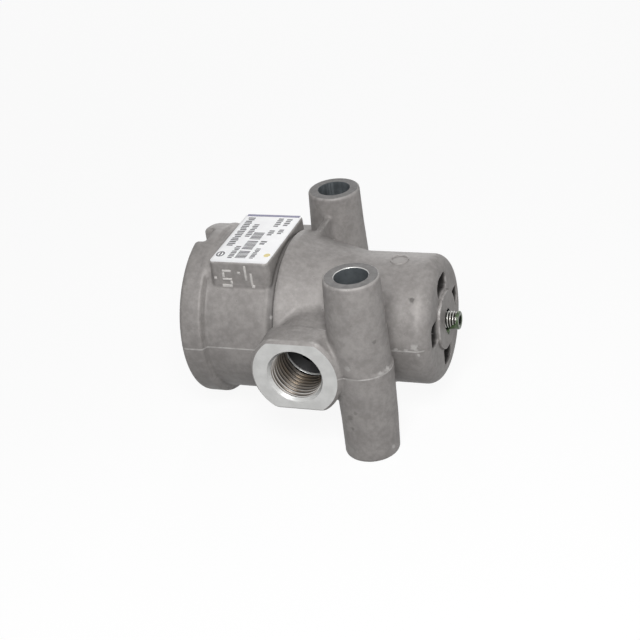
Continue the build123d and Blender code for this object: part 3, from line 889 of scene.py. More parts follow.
@dataclass
class Casting:
    """The die-cast housing, in millimetres: its cast form, and the bores cut into it.

    A bore's outline is pairs of a place along its axis and a radius. The outside has the radius of
    its corner as a third number. A vent is its turn from the top in degrees, its width and its
    inner radius, and a chamber is its port's place, its side and its own radius.
    """

    grid: float = 0.45
    rim_r: float = 25.0
    left_end: float = -44.2
    right_end: float = 27.65
    hub_face: float = 28.45
    hub_r: float = 8.5
    outside: tuple = (
        (-37.5, 25.0, 0.8),
        (-36.7, 23.1, 0.9),
        (-18.0, 23.1, 1.5),
        (-17.0, 22.5, 0.5),
        (-15.95, 22.45, 0.3),
        (-15.3, 24.15, 0.45),
        (-13.6, 23.9, 2.5),
        (-9.6, 22.0, 8.0),
        (3.85, 18.6, 10.0),
        (27.65, 18.6, 4.0),
    )
    boss_x: float = 11.25
    boss_y: float = 26.45
    boss_length: float = 55.0
    boss_end_r: float = 7.7
    lower_mid_r: float = 8.3
    upper_mid_r: float = 8.5
    boss_shift: tuple[float, float] = (0.62, -0.28)
    boss_ledge: tuple[float, float] = (1.0, 0.7)
    bolt_hole_r: float = 4.7
    port_r: float = 13.1
    port_flat: float = 11.0
    port_flat_length: float = 8.35
    port_bevel: float = 0.85
    bevel_slope: float = 0.7071
    neck_r: float = 11.05
    thread_r: float = 8.0
    thread_depth: float = 13.9
    pad_top: float = 24.1
    pad_x: tuple[float, float] = (-35.05, -17.05)
    pad_y: tuple[float, float] = (-16.3, 14.4)
    fill_x: float = -36.4
    fill_half: float = 1.8
    web_half: tuple[float, float, float] = (2.6, 11.0, 16.0)
    rib_half: tuple[float, float, float] = (0.9, 11.0, 26.0)
    rib_top: float = 21.7
    notch_middle: tuple[float, float] = (-1.1, 27.0)
    notch_half: tuple[float, float, float] = (3.3, 3.25, 9.0)
    web_fillet: float = 1.4
    port_fillet: float = 1.5
    rear_boss_fillet: float = 1.6
    front_boss_fillet: float = 1.3
    rib_fillet: float = 0.9
    fill_fillet: float = 0.9
    pad_fillet: float = 0.4
    notch_round: float = 1.1
    vent_round: float = 0.35
    groove_x: tuple[float, float] = (-18.4, -15.6)
    groove_r: tuple[float, float] = (22.0, 23.25)
    space: tuple[Place, Place] = ((-45.6, -37.0, -1.35), (30.0, 37.0, 56.4))
    vent_outer_r: float = 13.9
    vent_floor: float = 21.0
    vents: tuple = ((0.0, 8.6, 9.0), (84.0, 5.4, 8.7), (181.0, 7.0, 8.3), (-84.5, 6.8, 8.3))
    main_bore: tuple = (
        (-46.0, 0),
        (-46.0, 21.1),
        (-44.2, 21.1),
        (-43.6, 20.5),
        (-40.9, 20.5),
        (-40.9, 21.6),
        (-39.2, 21.6),
        (-39.2, 20.5),
        (-32.2, 20.5),
        (-32.2, 17.5),
        (-18.7, 17.5),
        (-18.7, 18.4),
        (-17.2, 18.4),
        (-17.2, 17.5),
        (-13.2, 17.5),
        (-13.2, 15.5),
        (12.3, 15.5),
        (12.3, 0),
    )
    spring_chamber: tuple = (
        (12.0, 0),
        (12.0, 14.3),
        (23.65, 14.3),
        (23.65, 5.3),
        (20.65, 5.3),
        (20.65, 0),
    )
    screw_hole: tuple = ((19.0, 0), (19.0, 2.55), (26.6, 2.55), (26.6, 3.1), (30.0, 3.1), (30.0, 0))
    port_mouth_from_face: tuple = ((-1.15, 0), (-1.15, 7.3), (0.6, 8.5), (0.6, 0))
    chambers: tuple = ((OUTLET_X, -1, 15.5), (INLET_X, 1, 17.5))

    def body_outline(self) -> np.ndarray:
        """Lay out the turned outside of the body.

        Returns:
            Points of place and radius, from the axis to the axis.
        """
        left = [(self.left_end, 0, 0), (self.left_end, self.rim_r, 1.6)]
        hub = [(self.right_end, self.hub_r, 0.2), (self.hub_face, self.hub_r, 0.25), (self.hub_face, 0, 0)]
        return rounded_outline([*left, *self.outside, *hub])

    def port(self, x: np.ndarray, y: np.ndarray, h: np.ndarray, place: float, side: int) -> np.ndarray:
        """Form one port: a round neck, and a collar with two wrench flats and a rounded end.

        Args:
            x: places along the body.
            y: places across it.
            h: heights above its axis.
            place: the port's own place along the body.
            side: -1 for the front port and 1 for the rear one.

        Returns:
            The distances to the port.
        """
        radius = np.hypot(x - place, h)
        along = side * y - (PORT_FACE_Y - self.port_flat_length)
        neck = np.maximum(np.maximum(radius - self.neck_r, along - 2.0), -side * y)
        collar = round_meet(radius - self.port_r, np.abs(h) - self.port_flat, 0.8)
        bevel = (collar + along - self.port_flat_length + self.port_bevel) * self.bevel_slope
        collar = np.maximum(round_meet(collar, bevel, 0.25), along - self.port_flat_length - 0.25)
        collar = round_meet(collar, -along, 0.5)
        return round_join(neck, collar, 0.9)

    def fixing_boss(self, x: np.ndarray, y: np.ndarray, h: np.ndarray, side: int) -> np.ndarray:
        """Form one drafted boss, whose lower half stands a little to the right.

        Args:
            x: places along the body.
            y: places across it.
            h: heights above its axis.
            side: -1 for the front boss and 1 for the rear one.

        Returns:
            The distances to the boss.
        """
        half = self.boss_length / 2
        top, width = self.boss_ledge
        lower = np.clip((top - h) / width, 0, 1)
        taper = np.clip(1 - np.abs(h) / half, 0, 1)
        mid_r = self.upper_mid_r + (self.lower_mid_r - self.upper_mid_r) * lower
        radius = self.boss_end_r + (mid_r - self.boss_end_r) * taper
        shift = (self.boss_shift[0] * lower + self.boss_shift[1]) * np.clip(taper * 2.5, 0, 1)
        round_part = np.hypot(x + side * self.boss_x - shift, y - side * self.boss_y) - radius
        return round_meet(round_part, np.abs(h) - half, 0.7)

    def vent(self, x: np.ndarray, y: np.ndarray, h: np.ndarray, window: tuple) -> np.ndarray:
        """Form one vent through the end wall.

        Args:
            x: places along the body.
            y: places across it.
            h: heights above its axis.
            window: the vent's turn from the top in degrees, its width and its inner radius.

        Returns:
            The distances to the vent.
        """
        turn, wide, inner = math.radians(window[0]), window[1], window[2]
        along = h * math.cos(turn) + y * math.sin(turn)
        across = y * math.cos(turn) - h * math.sin(turn)
        out = np.hypot(y, h)
        ring = round_meet(out - self.vent_outer_r, inner - out, 1.5)
        hole = round_meet(np.abs(across) - wide / 2, ring, 1.7)
        return np.maximum(np.maximum(hole, -along), self.vent_floor - x)

    def pad(self, form: np.ndarray, x: np.ndarray, y: np.ndarray, h: np.ndarray) -> np.ndarray:
        """Join the label pad to the form, with the filling between the pad and the rim.

        Args:
            form: the distances to what is there already.
            x: places along the body.
            y: places across it.
            h: heights above its axis.

        Returns:
            The distances to both together.
        """
        (left, right), (front, back) = self.pad_x, self.pad_y
        deep, half_deep = (front + back) / 2, (back - front) / 2
        plan = box_field([x - (left + right) / 2, y - deep], ((right - left) / 2, half_deep), 1.7)
        pad = np.maximum(round_meet(plan, h - self.pad_top, 0.55), -h)
        fill = round_meet(np.hypot(y, h) - self.rim_r, h - self.pad_top + 0.35, 1.0)
        fill = round_meet(fill, np.abs(y - deep) - half_deep + 1.2, 1.2)
        fill = np.maximum(np.maximum(fill, np.abs(x - self.fill_x) - self.fill_half), -h)
        return round_join(round_join(form, fill, self.fill_fillet), pad, self.pad_fillet)

    def distance(self, points: np.ndarray) -> np.ndarray:
        """Work out the signed distance to the cast form, before machining.

        Args:
            points: places in millimetres.

        Returns:
            The distances, negative inside.
        """
        x, y, h = points[..., 0], points[..., 1], points[..., 2] - AXIS_Z
        form = self.table.distance(x, np.hypot(y, h))
        reach = self.boss_y - self.web_half[1]
        web = box_field([x - self.boss_x, y + reach, h], self.web_half, 1.0)
        form = round_join(form, web, self.web_fillet)
        for place, side, _ in self.chambers:
            form = round_join(form, self.port(x, y, h, place, side), self.port_fillet)
        rib = box_field([x + self.boss_x, y - reach, h], self.rib_half, 0.5)
        rib = round_meet(rib, np.abs(h) - self.rib_top, 0.6)
        form = round_join(form, self.fixing_boss(x, y, h, 1), self.rear_boss_fillet)
        form = round_join(form, rib, self.rib_fillet)
        form = round_join(form, self.fixing_boss(x, y, h, -1), self.front_boss_fillet)
        form = self.pad(form, x, y, h)
        side, top = self.notch_middle
        notch = box_field([x - self.left_end, y - side, h - top], self.notch_half, 0.8)
        form = round_meet(form, -notch, self.notch_round)
        for window in self.vents:
            form = round_meet(form, -self.vent(x, y, h, window), self.vent_round)
        return form

    def slope(self, points: np.ndarray, reach: float = 0.04) -> np.ndarray:
        """Find the direction in which the distance grows fastest.

        Args:
            points: places in millimetres.
            reach: the small step that is tried along each axis.

        Returns:
            The slopes along x, y and z.
        """
        rises = [self.distance(points + s) - self.distance(points - s) for s in np.eye(3) * reach]
        return np.stack(rises, -1) / (2 * reach)

    def cast_form(self) -> bpy.types.Object:
        """Mesh the cast form, with its points drawn onto the true surface.

        Returns:
            The form, with a material slot for each kind of ground.
        """
        self.table = ProfileTable(self.body_outline())
        low, high = (np.array(corner) for corner in self.space)
        axes = [np.arange(a, b, self.grid) for a, b in zip(low, high)]
        values = np.empty([len(axis) for axis in axes])
        for i, x in enumerate(axes[0]):
            py, pz = np.meshgrid(axes[1], axes[2], indexing="ij")
            values[i] = self.distance(np.stack([np.full(py.shape, x), py, pz], -1))
        points, quads = surface_net(values, low, self.grid)
        farthest = 0.2
        for _ in range(3):
            slope = self.slope(points)
            size = np.maximum((slope**2).sum(-1), 0.2)
            move = slope * (self.distance(points) / size)[:, None]
            points -= np.clip(move, -farthest, farthest)
        return mesh_object("housing_casting", points, quads, CAST, TURNED, DRILLED, FACED, DARK)

    def port_cutters(self, place: float, side: int, chamber: float) -> list[tuple[bpy.types.Object, Ground]]:
        """Make the cutters of one port.

        Args:
            place: the port's place along the body.
            side: -1 for the front port and 1 for the rear one.
            chamber: radius of the chamber that it opens into.

        Returns:
            The cutters with what they leave, from the face inwards.
        """
        face_y, end = PORT_FACE_Y, PORT_FACE_Y - self.thread_depth
        full_r, drill_r = self.thread_r, 5.0
        bore = [(chamber - 5.0, 0), (chamber - 5.0, drill_r), (end - 1.8, drill_r), (end, full_r)]
        bore += [(face_y - 1.1, full_r), (face_y - 1.1, 0)]
        mouth = [(face_y + along, radius) for along, radius in self.port_mouth_from_face]
        step = [(end - 0.28, 0), (end - 0.28, full_r - 0.28), (end + 0.02, full_r + 0.04), (end + 0.02, 0)]
        face = [(face_y, 0), (face_y, 20.0), (face_y + 3.0, 20.0), (face_y + 3.0, 0)]
        turn = Matrix.Translation((place, 0, AXIS_Z)) @ Matrix.Rotation(side * math.pi / 2, 4, "Z")
        return [
            (turned("port_face", face, turn, 64), Ground.TURNED),
            (turned("port_mouth", mouth, turn), Ground.TURNED),
            (turned("port_bore", bore, turn), Ground.DARK),
            (turned("port_bore_end", step, turn), Ground.TURNED),
        ]

    def boss_cutters(self, side: int) -> list[tuple[bpy.types.Object, Ground]]:
        """Make the cutters of one fixing boss.

        Args:
            side: -1 for the front boss and 1 for the rear one.

        Returns:
            The cutters with what they leave.
        """
        stand = Matrix.Translation((-side * self.boss_x, side * self.boss_y, 0))
        stand = stand @ Matrix.Rotation(-math.pi / 2, 4, "Y")
        above, skim = self.boss_length + 2.0, 0.04
        made = []
        for low, high in ((-2.0, skim), (self.boss_length - skim, above)):
            face = [(low, 0), (low, 12.0), (high, 12.0), (high, 0)]
            made.append((turned("boss_face", face, stand, 64), Ground.FACED))
        over, hole_r = self.boss_length + 1.0, self.bolt_hole_r
        hole = [(-1.0, 0), (-1.0, hole_r), (over, hole_r), (over, 0)]
        made.append((turned("bolt_hole", hole, stand, 96), Ground.DRILLED))
        # painted shade on the rear hole's edge, which takes the dark bore colour; the front one is turned
        # bright
        edge_ground = Ground.TURNED if side < 0 else Ground.DRILLED
        for low, high in ((-1.0, 0.2), (over, self.boss_length - 0.2)):
            edge = [(low, 0), (low, hole_r + 1.2), (high, hole_r), (high, 0)]
            made.append((turned("bolt_hole_edge", edge, stand, 96), edge_ground))
        return made

    def cutters(self) -> list[tuple[bpy.types.Object, Ground]]:
        """Make closed cutters for every machined bore and face.

        Returns:
            The cutters with what they leave, in the order of machining.
        """
        along = Matrix.Translation((0, 0, AXIS_Z))
        made = [
            (turned("main_bore", self.main_bore, along), Ground.TURNED),
            (turned("spring_chamber", self.spring_chamber, along), Ground.DARK),
            (turned("screw_hole", self.screw_hole, along, 64), Ground.DRILLED),
        ]
        for place, side, chamber in self.chambers:
            made += self.port_cutters(place, side, chamber)
        for side in (-1, 1):
            made += self.boss_cutters(side)
        return made

    def mark_wear_and_shade(self, obj: bpy.types.Object, reach: float = 0.5) -> None:
        """Store how far each point is an edge, a hollow or out of the light, for the finish.

        Args:
            obj: the machined housing.
            reach: how wide a bend is looked at.
        """
        points = np.empty(len(obj.data.vertices) * 3)
        obj.data.vertices.foreach_get("co", points)
        points = points.reshape(-1, 3) / MM
        bend = sum(self.distance(points + s) + self.distance(points - s) for s in np.eye(3) * reach)
        bend = (bend - 6 * self.distance(points)) / reach**2
        x, out = points[:, 0], np.hypot(points[:, 1], points[:, 2] - AXIS_Z)
        rim_foot = (np.abs(x + 37.4) < 1.2) & (out > 23.3)
        groove_edge = (np.abs(x + 17.1) < 1.1) & (out < 23.4)
        store(obj, "edge", np.where(rim_foot | groove_edge, 0.0, np.clip(bend, 0, 3)))
        store(obj, "hollow", np.clip(-bend, 0, 3))
        # painted shadow of the lip on the groove, and painted shade inside the vents
        (left, right), (low, high) = self.groove_x, self.groove_r
        in_groove = (x > left) & (x < right) & (out > low) & (out < high)
        in_vent = np.where((x > 20.0) & (out < 14.8), np.clip((27.5 - x) / 0.7, 0, 1), 0)
        store(obj, "deep", np.where(in_groove, 0.5 * np.clip((x - left) / 1.2, 0, 1), in_vent))

    def build(self) -> bpy.types.Object:
        """Cast, machine and dress the housing.

        Returns:
            The finished housing, which stands for its CAD node.
        """
        obj = self.cast_form()
        log.info("cast form: %d quads", len(obj.data.polygons))
        for cutter, ground in self.cutters():
            cut(obj, cutter, ground)
        self.mark_wear_and_shade(obj)
        smooth(obj, 48.0)
        return settle(obj, "root", "cast_aluminium", "housing")


@dataclass
class PortThread:
    """Internal thread of one port, in millimetres, with depths measured from the port's face."""

    name: str
    place: float
    side: int
    depth: float = 13.3
    major_r: float = 8.0
    minor_r: float = 7.19
    pitch: float = 1.5
    sunk: float = 0.03
    mouth_depth: float = 1.15
    per_turn: int = 96
    run_in: float = 24.0
    run_out: tuple[float, float] = (0.9, 0.5)
    unlit: tuple[float, float] = (2.5, 8.0)

    def profile(self) -> Outline:
        """Lay out the section of the ridge.

        Returns:
            Pairs of an offset along the port and a radius.
        """
        half = [(0.72, self.major_r + self.sunk), (0.5, 7.9), (0.12, self.minor_r)]
        return [(-offset, radius) for offset, radius in half] + half[::-1]

    def ridge(self) -> list[Place]:
        """Sweep the ridge along its helix, cut back by the chamfer at the mouth.

        Returns:
            Its points, one section after the other.
        """
        wall_r = self.major_r + self.sunk
        gone, width = self.run_out
        points = []
        for i in range(int(self.per_turn * self.depth / self.pitch) + 1):
            angle = -2 * math.pi * i / self.per_turn * self.side
            middle = self.depth - self.pitch * i / self.per_turn
            fade = max(0.0, min(1.0, i / self.run_in, (middle - gone) / width))
            for offset, radius in self.profile():
                r = wall_r - (wall_r - radius) * fade
                y = self.side * (PORT_FACE_Y - max(middle + offset, self.mouth_depth))
                points.append((self.place + r * math.cos(angle), y, AXIS_Z + r * math.sin(angle)))
        return points

    def shade(self, point: Place) -> float:
        """Tell how much painted shade a point of the ridge gets, by its root and by its depth in the port.

        Args:
            point: the point in millimetres.

        Returns:
            Its shade, from 0 on a crest near the mouth to 1.
        """
        x, y, z = point
        out = math.hypot(x - self.place, z - AXIS_Z)
        low = max(0.0, (out - self.minor_r) / (self.major_r - self.minor_r))
        start, length = self.unlit
        deep = min(1.0, max(0.0, PORT_FACE_Y - abs(y) - start) / length)
        return min(1.0, low + 0.7 * deep)

    def build(self) -> bpy.types.Object:
        """Build the thread.

        Returns:
            The piece, which has no CAD node of its own.
        """
        points, columns = self.ridge(), len(self.profile())
        faces = quad_grid(len(points) // columns, columns)
        obj = mesh_object(self.name, np.array(points), faces, THREAD)
        store(obj, "root", [self.shade(point) for point in points])
        smooth(obj, 60.0)
        return settle(obj, "root", "machined_aluminium")


@dataclass
class CastMarks:
    """Raised marks of the mould, all generic: dots, bars and a ring, in millimetres.

    A bar is its middle's x and z and its size along x and z.
    """

    relief: float = 0.3
    pad_front: float = -16.3
    bar_sunk: float = 0.2
    bar_flare: tuple[float, float] = (0.12, -0.04)
    bar_round: float = 0.1
    bars: tuple = (
        (-33.5, 46.5, 0.75, 0.75),
        (-29.8, 48.9, 2.6, 0.6),
        (-30.9, 47.6, 0.6, 1.5),
        (-29.9, 46.3, 2.8, 0.6),
        (-28.7, 45.3, 0.6, 1.0),
        (-30.1, 44.2, 3.0, 0.85),
        (-26.1, 48.4, 0.8, 0.7),
        (-24.1, 48.4, 0.6, 4.5),
        (-22.5, 46.4, 0.6, 3.9),
        (-22.2, 44.3, 0.9, 0.8),
    )
    block_faces: tuple = (
        (0, 1, 2, 3),
        (7, 6, 5, 4),
        (0, 4, 5, 1),
        (1, 5, 6, 2),
        (2, 6, 7, 3),
        (3, 7, 4, 0),
    )
    ring_x: float = 16.1
    ring_r: float = 2.45
    ring_section: tuple = (-0.32, -0.16, 0.16, 0.32)
    ring_sunk: float = 0.1
    ring_wear: float = 1.5
    ground_r: float = 18.6

    def bar(self, x: float, z: float, long_x: float, long_z: float) -> list[Place]:
        """Form one raised bar on the pad's front face.

        Args:
            x: its middle along the valve.
            z: its middle's height.
            long_x: its size along the valve.
            long_z: its height.

        Returns:
            The eight corners of a tapered block.
        """
        foot, top = self.bar_flare
        corners = []
        for y, grow in ((self.pad_front + self.bar_sunk, foot), (self.pad_front - self.relief, top)):
            for sx, sz in ((-1, -1), (1, -1), (1, 1), (-1, 1)):
                corners.append((x + sx * (long_x / 2 + grow), y, z + sz * (long_z / 2 + grow)))
        return corners

    def pad_marks(self) -> None:
        """Build the bars on the pad as one piece with softened edges."""
        points, faces = [], []
        for bar in self.bars:
            first = len(points)
            points += self.bar(*bar)
            faces += [[first + i for i in face] for face in self.block_faces]
        obj = mesh_object("cast_marks_pad", np.array(points), faces, RUBBED)
        make_outward(obj)
        bevel = obj.modifiers.new("soft", "BEVEL")
        bevel.width, bevel.segments = self.bar_round * MM, 2
        bake(obj)
        smooth(obj)
        settle(obj, "root", "cast_aluminium")

    def ring(self) -> None:
        """Build the raised ring, wrapped onto the round of the narrow end."""
        points, around = [], 64
        for i in range(around):
            angle = 2 * math.pi * i / around
            for across in self.ring_section:
                size = self.ring_r + across
                x, y = self.ring_x + size * math.cos(angle), size * math.sin(angle)
                lift = self.relief if abs(across) < 0.2 else -self.ring_sunk
                points.append((x, y, AXIS_Z + math.sqrt((self.ground_r + lift) ** 2 - y * y)))
        faces = quad_grid(around, len(self.ring_section), close_ends=True)
        obj = mesh_object("cast_mark_ring", np.array(points), faces, CAST)
        store(obj, "edge", [self.ring_wear] * len(points))
        smooth(obj, 60.0)
        settle(obj, "root", "cast_aluminium")

    def build(self) -> None:
        """Build the marks on the pad and the ring on the narrow end."""
        self.pad_marks()
        self.ring()


@dataclass
class Label:
    """Printed film on the pad: rows of plain bars, a block of stripes, an oval, a line and a spot.

    All is in millimetres. A row of bars is its middle's x and y, its width, its length and the
    number of its bars.
    """

    top: float = 51.75
    middle: tuple[float, float] = (-26.1, -1.0)
    wide: float = 17.5
    long: float = 29.9
    corner_r: float = 1.1
    rim: tuple = ((0.0, -0.3), (0.0, -0.12), (0.35, -0.02), (0.7, 0.0))
    rows: tuple = (
        (-32.3, 2.6, 2.3, 18.6, 17),
        (-29.4, -10.2, 1.7, 7.6, 8),
        (-29.2, 3.4, 1.8, 8.4, 8),
        (-22.9, -10.6, 1.5, 6.4, 8),
        (-22.9, -4.0, 1.9, 2.6, 2),
        (-22.9, 2.3, 1.8, 3.6, 3),
        (-22.9, 9.0, 1.8, 5.8, 5),
        (-20.2, 3.2, 1.6, 3.2, 3),
        (-20.2, 9.2, 1.7, 4.8, 4),
    )
    bar_heights: tuple = (0.8, 1.0, 0.9, 1.0, 0.85)
    bar_share: float = 0.66
    stripes_x: float = -26.3
    stripes_start: float = -13.4
    stripes_pitch: float = 0.77
    stripes_height: float = 3.3
    stripe_widths: tuple = (0.4, 0.62, 0.5)
    stripe_gaps: tuple = (6, 14)
    mark: tuple[float, float] = (-33.0, -11.7)
    ink_lift: float = 0.012

    def patch(self, name: str, outlines: list[Outline], finish: bpy.types.Material, lift: float) -> None:
        """Lay flat printed shapes a hair above the film.

        Args:
            name: the piece's name.
            outlines: the shapes, each as points of x and y in order.
            finish: the ink.
            lift: height above the film in millimetres.
        """
        points, faces = [], []
        for outline in outlines:
            first = len(points)
            points += [(x, y, self.top + lift) for x, y in outline]
            faces.append(list(range(first, len(points))))
        obj = mesh_object(name, np.array(points), faces, finish)
        settle(obj, "root", "label_film")

    @staticmethod
    def block(x: float, y: float, wide: float, long: float) -> Outline:
        """Draw a rectangle with its middle at x and y."""
        corners = ((-1, -1), (1, -1), (1, 1), (-1, 1))
        return [(x + sx * wide / 2, y + sy * long / 2) for sx, sy in corners]

    @staticmethod
    def oval(x: float, y: float, wide: float, long: float) -> Outline:
        """Draw an oval with its middle at x and y and the given half sizes."""
        turns = np.linspace(0, 2 * math.pi, 33)[:-1]
        return [(x + wide * math.cos(a), y + long * math.sin(a)) for a in turns]

    def film(self) -> None:
        """Lay the film on the pad, with its rim pressed down over the pad's rounded edge."""
        points, per_corner, reach = [], 8, self.corner_r
        for inset, height in self.rim:
            for corner, (sx, sy) in enumerate(((1, 1), (-1, 1), (-1, -1), (1, -1))):
                for i in range(per_corner):
                    angle = math.pi / 2 * (corner + i / (per_corner - 1))
                    x = self.middle[0] + sx * (self.wide / 2 - inset - reach) + reach * math.cos(angle)
                    y = self.middle[1] + sy * (self.long / 2 - inset - reach) + reach * math.sin(angle)
                    points.append((x, y, self.top + height))
        ring = 4 * per_corner
        faces = quad_grid(len(self.rim), ring, close_rows=True)
        faces.append(list(range(len(points) - ring, len(points))))
        obj = mesh_object("label_sheet", np.array(points), faces, FILM)
        smooth(obj, 60.0)
        settle(obj, "root", "label_film", "label")

    def bars(self) -> list[Outline]:
        """Lay out the rows of bars, which stand a little unevenly.

        Returns:
            An outline for each bar.
        """
        made = []
        for x, y, wide, long, pieces in self.rows:
            size = long / pieces
            for i in range(pieces):
                tall = wide * self.bar_heights[i % len(self.bar_heights)]
                offset = (wide - tall) * (0.5 if i % 2 else -0.3)
                middle = y + (i - (pieces - 1) / 2) * size
                made.append(self.block(x + offset, middle, tall, size * self.bar_share))
        return made

    def stripes(self) -> list[Outline]:
        """Lay out the block of stripes with its gaps.

        Returns:
            An outline for each stripe.
        """
        made = []
        for i in range(21):
            if i not in self.stripe_gaps:
                y = self.stripes_start + self.stripes_pitch * i
                wide = self.stripe_widths[i % len(self.stripe_widths)]
                made.append(self.block(self.stripes_x, y, self.stripes_height, wide))
        return made

    def build(self) -> None:
        """Lay the film and print it."""
        self.film()
        self.patch("label_ink", self.bars() + self.stripes(), INK, self.ink_lift)
        self.patch("label_mark", [self.oval(*self.mark, 1.25, 1.6)], INK, self.ink_lift)
        self.patch("label_mark_middle", [self.oval(*self.mark, 0.8, 1.1)], FILM, 0.016)
        self.patch("label_mark_bar", [self.block(*self.mark, 0.55, 2.0)], INK, 0.02)
        self.patch("label_stripe", [self.block(-26.1, 13.2, 16.6, 1.3)], STRIPE, self.ink_lift)
        self.patch("label_spot", [self.oval(-18.9, -11.4, 0.95, 1.05)], SPOT, 0.014)


@dataclass
class AdjustingScrew:
    """Threaded adjusting screw with a hexagon socket, in millimetres."""

    tip: float = 16.15
    end: float = 32.0
    major_r: float = 2.5
    minor_r: float = 2.0
    pitch: float = 0.8
    crest_power: float = 0.8
    end_r: float = 1.95
    end_slope: float = 1.1
    socket: float = 2.5
    socket_depth: float = 2.5

    def radius(self, along: float, angle: float) -> float:
        """Work out the radius of the thread.

        Args:
            along: the place along the valve.
            angle: the turn round the screw in radians.

        Returns:
            The radius, cut back by the chamfer at either end.
        """
        share = (along - self.tip) / self.pitch - angle / (2 * math.pi)
        rise = 0.5 - 0.5 * math.cos(2 * math.pi * share)
        thread_r = self.minor_r + (self.major_r - self.minor_r) * rise**self.crest_power
        from_end = min(along - self.tip, self.end - along)
        return min(thread_r, self.end_r + max(from_end, 0) * self.end_slope)

    def build(self) -> bpy.types.Object:
        """Build the threaded rod and sink its socket.

        Returns:
            The screw, which stands for the plain CAD screw.
        """
        around, rows = 64, 221
        points = []
        for i in range(rows):
            along = self.tip + (self.end - self.tip) * i / (rows - 1)
            for j in range(around):
                angle = 2 * math.pi * j / around
                points.append(round_axis(along, self.radius(along, angle), angle))
        faces = quad_grid(rows, around, close_rows=True)
        faces.append(list(range(around)))
        faces.append(list(range((rows - 1) * around, rows * around))[::-1])
        obj = mesh_object("threaded_screw", np.array(points), faces, SCREW)
        make_outward(obj)
        width, bottom = self.socket / math.sqrt(3), self.end - self.socket_depth
        hexagon = [(bottom, 0), (bottom, width), (self.end + 1, width), (self.end + 1, 0)]
        cut(obj, turned("socket", hexagon, Matrix.Translation((0, 0, AXIS_Z)), 6))
        # painted shade: the screw's thread darkens towards its roots
        spots = [v.co / MM for v in obj.data.vertices]
        span = self.major_r - self.minor_r
        depth = [(self.major_r - math.hypot(p.y, p.z - AXIS_Z)) / span for p in spots]
        store(obj, "root", np.clip(depth, 0, 1))
        smooth(obj, 60.0)
        return settle(obj, "adjusting_screw", "zinc_steel", "adjusting_screw")


@dataclass
class SealLacquer:
    """Sealing lacquer, in millimetres: on the screw's end and underside, and a run on the hub.

    A bead is its place and its radius.
    """

    grid: float = 0.14
    melt: float = 0.5
    beads: tuple = (
        (28.45, -0.7, 24.15, 0.48),
        (28.45, -0.4, 23.8, 0.42),
        (28.45, -0.6, 23.3, 0.34),
        (28.45, -1.7, 24.55, 0.36),
        (28.45, 0.5, 24.25, 0.34),
    )
    run_box: tuple[Place, Place] = ((27.7, -2.6, 22.2), (29.4, 1.4, 25.6))
    screw_r: float = 2.5
    inner_r: float = 2.3
    around: int = 72

    def run(self) -> None:
        """Melt the beads into one smooth drop on the hub."""
        low, high = self.run_box
        axes = [np.arange(a, b, self.grid) for a, b in zip(low, high)]
        place = np.stack(np.meshgrid(*axes, indexing="ij"), -1)
        form = np.full(place.shape[:-1], 9.0)
        for x, y, z, r in self.beads:
            ball = np.sqrt(((place - (x, y, z)) ** 2).sum(-1)) - r
            form = round_join(form, ball, self.melt)
        points, quads = surface_net(form, np.array(low), self.grid)
        obj = mesh_object("hub_lacquer", points, quads, LACQUER)
        make_outward(obj)
        smooth(obj, 180.0)
        settle(obj, "root", "zinc_steel")

    def section(self, angle: float) -> Outline:
        """Lay out the coat's section, which is ragged and reaches furthest along the underside.

        Args:
            angle: the turn round the screw in radians.

        Returns:
            Pairs of a place along the valve and a radius.
        """
        low = 0.5 - 0.5 * math.sin(angle + 0.25)
        ragged = 0.12 * math.sin(5 * angle + 1.0) + 0.09 * math.sin(11 * angle)
        start = 31.25 - 2.75 * max(0.0, low - 0.62) / 0.38 + ragged
        thick = 0.1 + 0.12 * low + 0.03 * math.sin(7 * angle)
        outer = self.screw_r + thick
        return [
            (start, self.inner_r),
            (start + 0.1, outer - 0.08),
            (start + 0.35, outer),
            ((start + 31.9) / 2, outer - 0.06 * low),
            (31.85, outer),
            (32.06, outer - 0.12),
            (32.14, outer - 0.35),
            (32.14, 1.75),
            (32.05, 1.5),
            (31.6, 1.48),
            (31.6, self.inner_r),
        ]

    def cap(self) -> None:
        """Coat the rim of the screw's end, and the underside of its thread down to the hub."""
        points = []
        for j in range(self.around):
            angle = 2 * math.pi * j / self.around
            points += [round_axis(x, r, angle) for x, r in self.section(angle)]
        columns = len(points) // self.around
        faces = quad_grid(self.around, columns, close_rows=True, close_ends=True)
        obj = mesh_object("screw_lacquer", np.array(points), faces, LACQUER)
        make_outward(obj)
        smooth(obj, 70.0)
        settle(obj, "adjusting_screw", "zinc_steel")

    def build(self) -> None:
        """Build the coat on the screw and the run on the hub."""
        self.cap()
        self.run()


class Insides:
    """The CAD nodes that keep their shape, each with its own finish."""

    finishes = {
        "end_cover": PISTON,
        "cover_o_ring": RUBBER,
        "cover_snap_ring": SPRING,
        "valve_guide": BRASS,
        "valve_poppet": BRASS,
        "valve_facing": RUBBER,
        "facing_rivet": BRASS,
        "stem_o_ring": RUBBER,
        "valve_spring": SPRING,
        "seat_insert": BRASS,
        "seat_o_ring": RUBBER,
        "seat_snap_ring": SPRING,
        "piston": PISTON,
        "piston_lip_seal": RUBBER,
        "piston_guide_ring": NYLON,
        "main_spring": SPRING,
        "spring_seat": ZINC,
    }

    def build(self) -> None:
        """Dress every inner node."""
        for node, finish in self.finishes.items():
            dress(node, finish)
            log.info("%s: dressed", node)


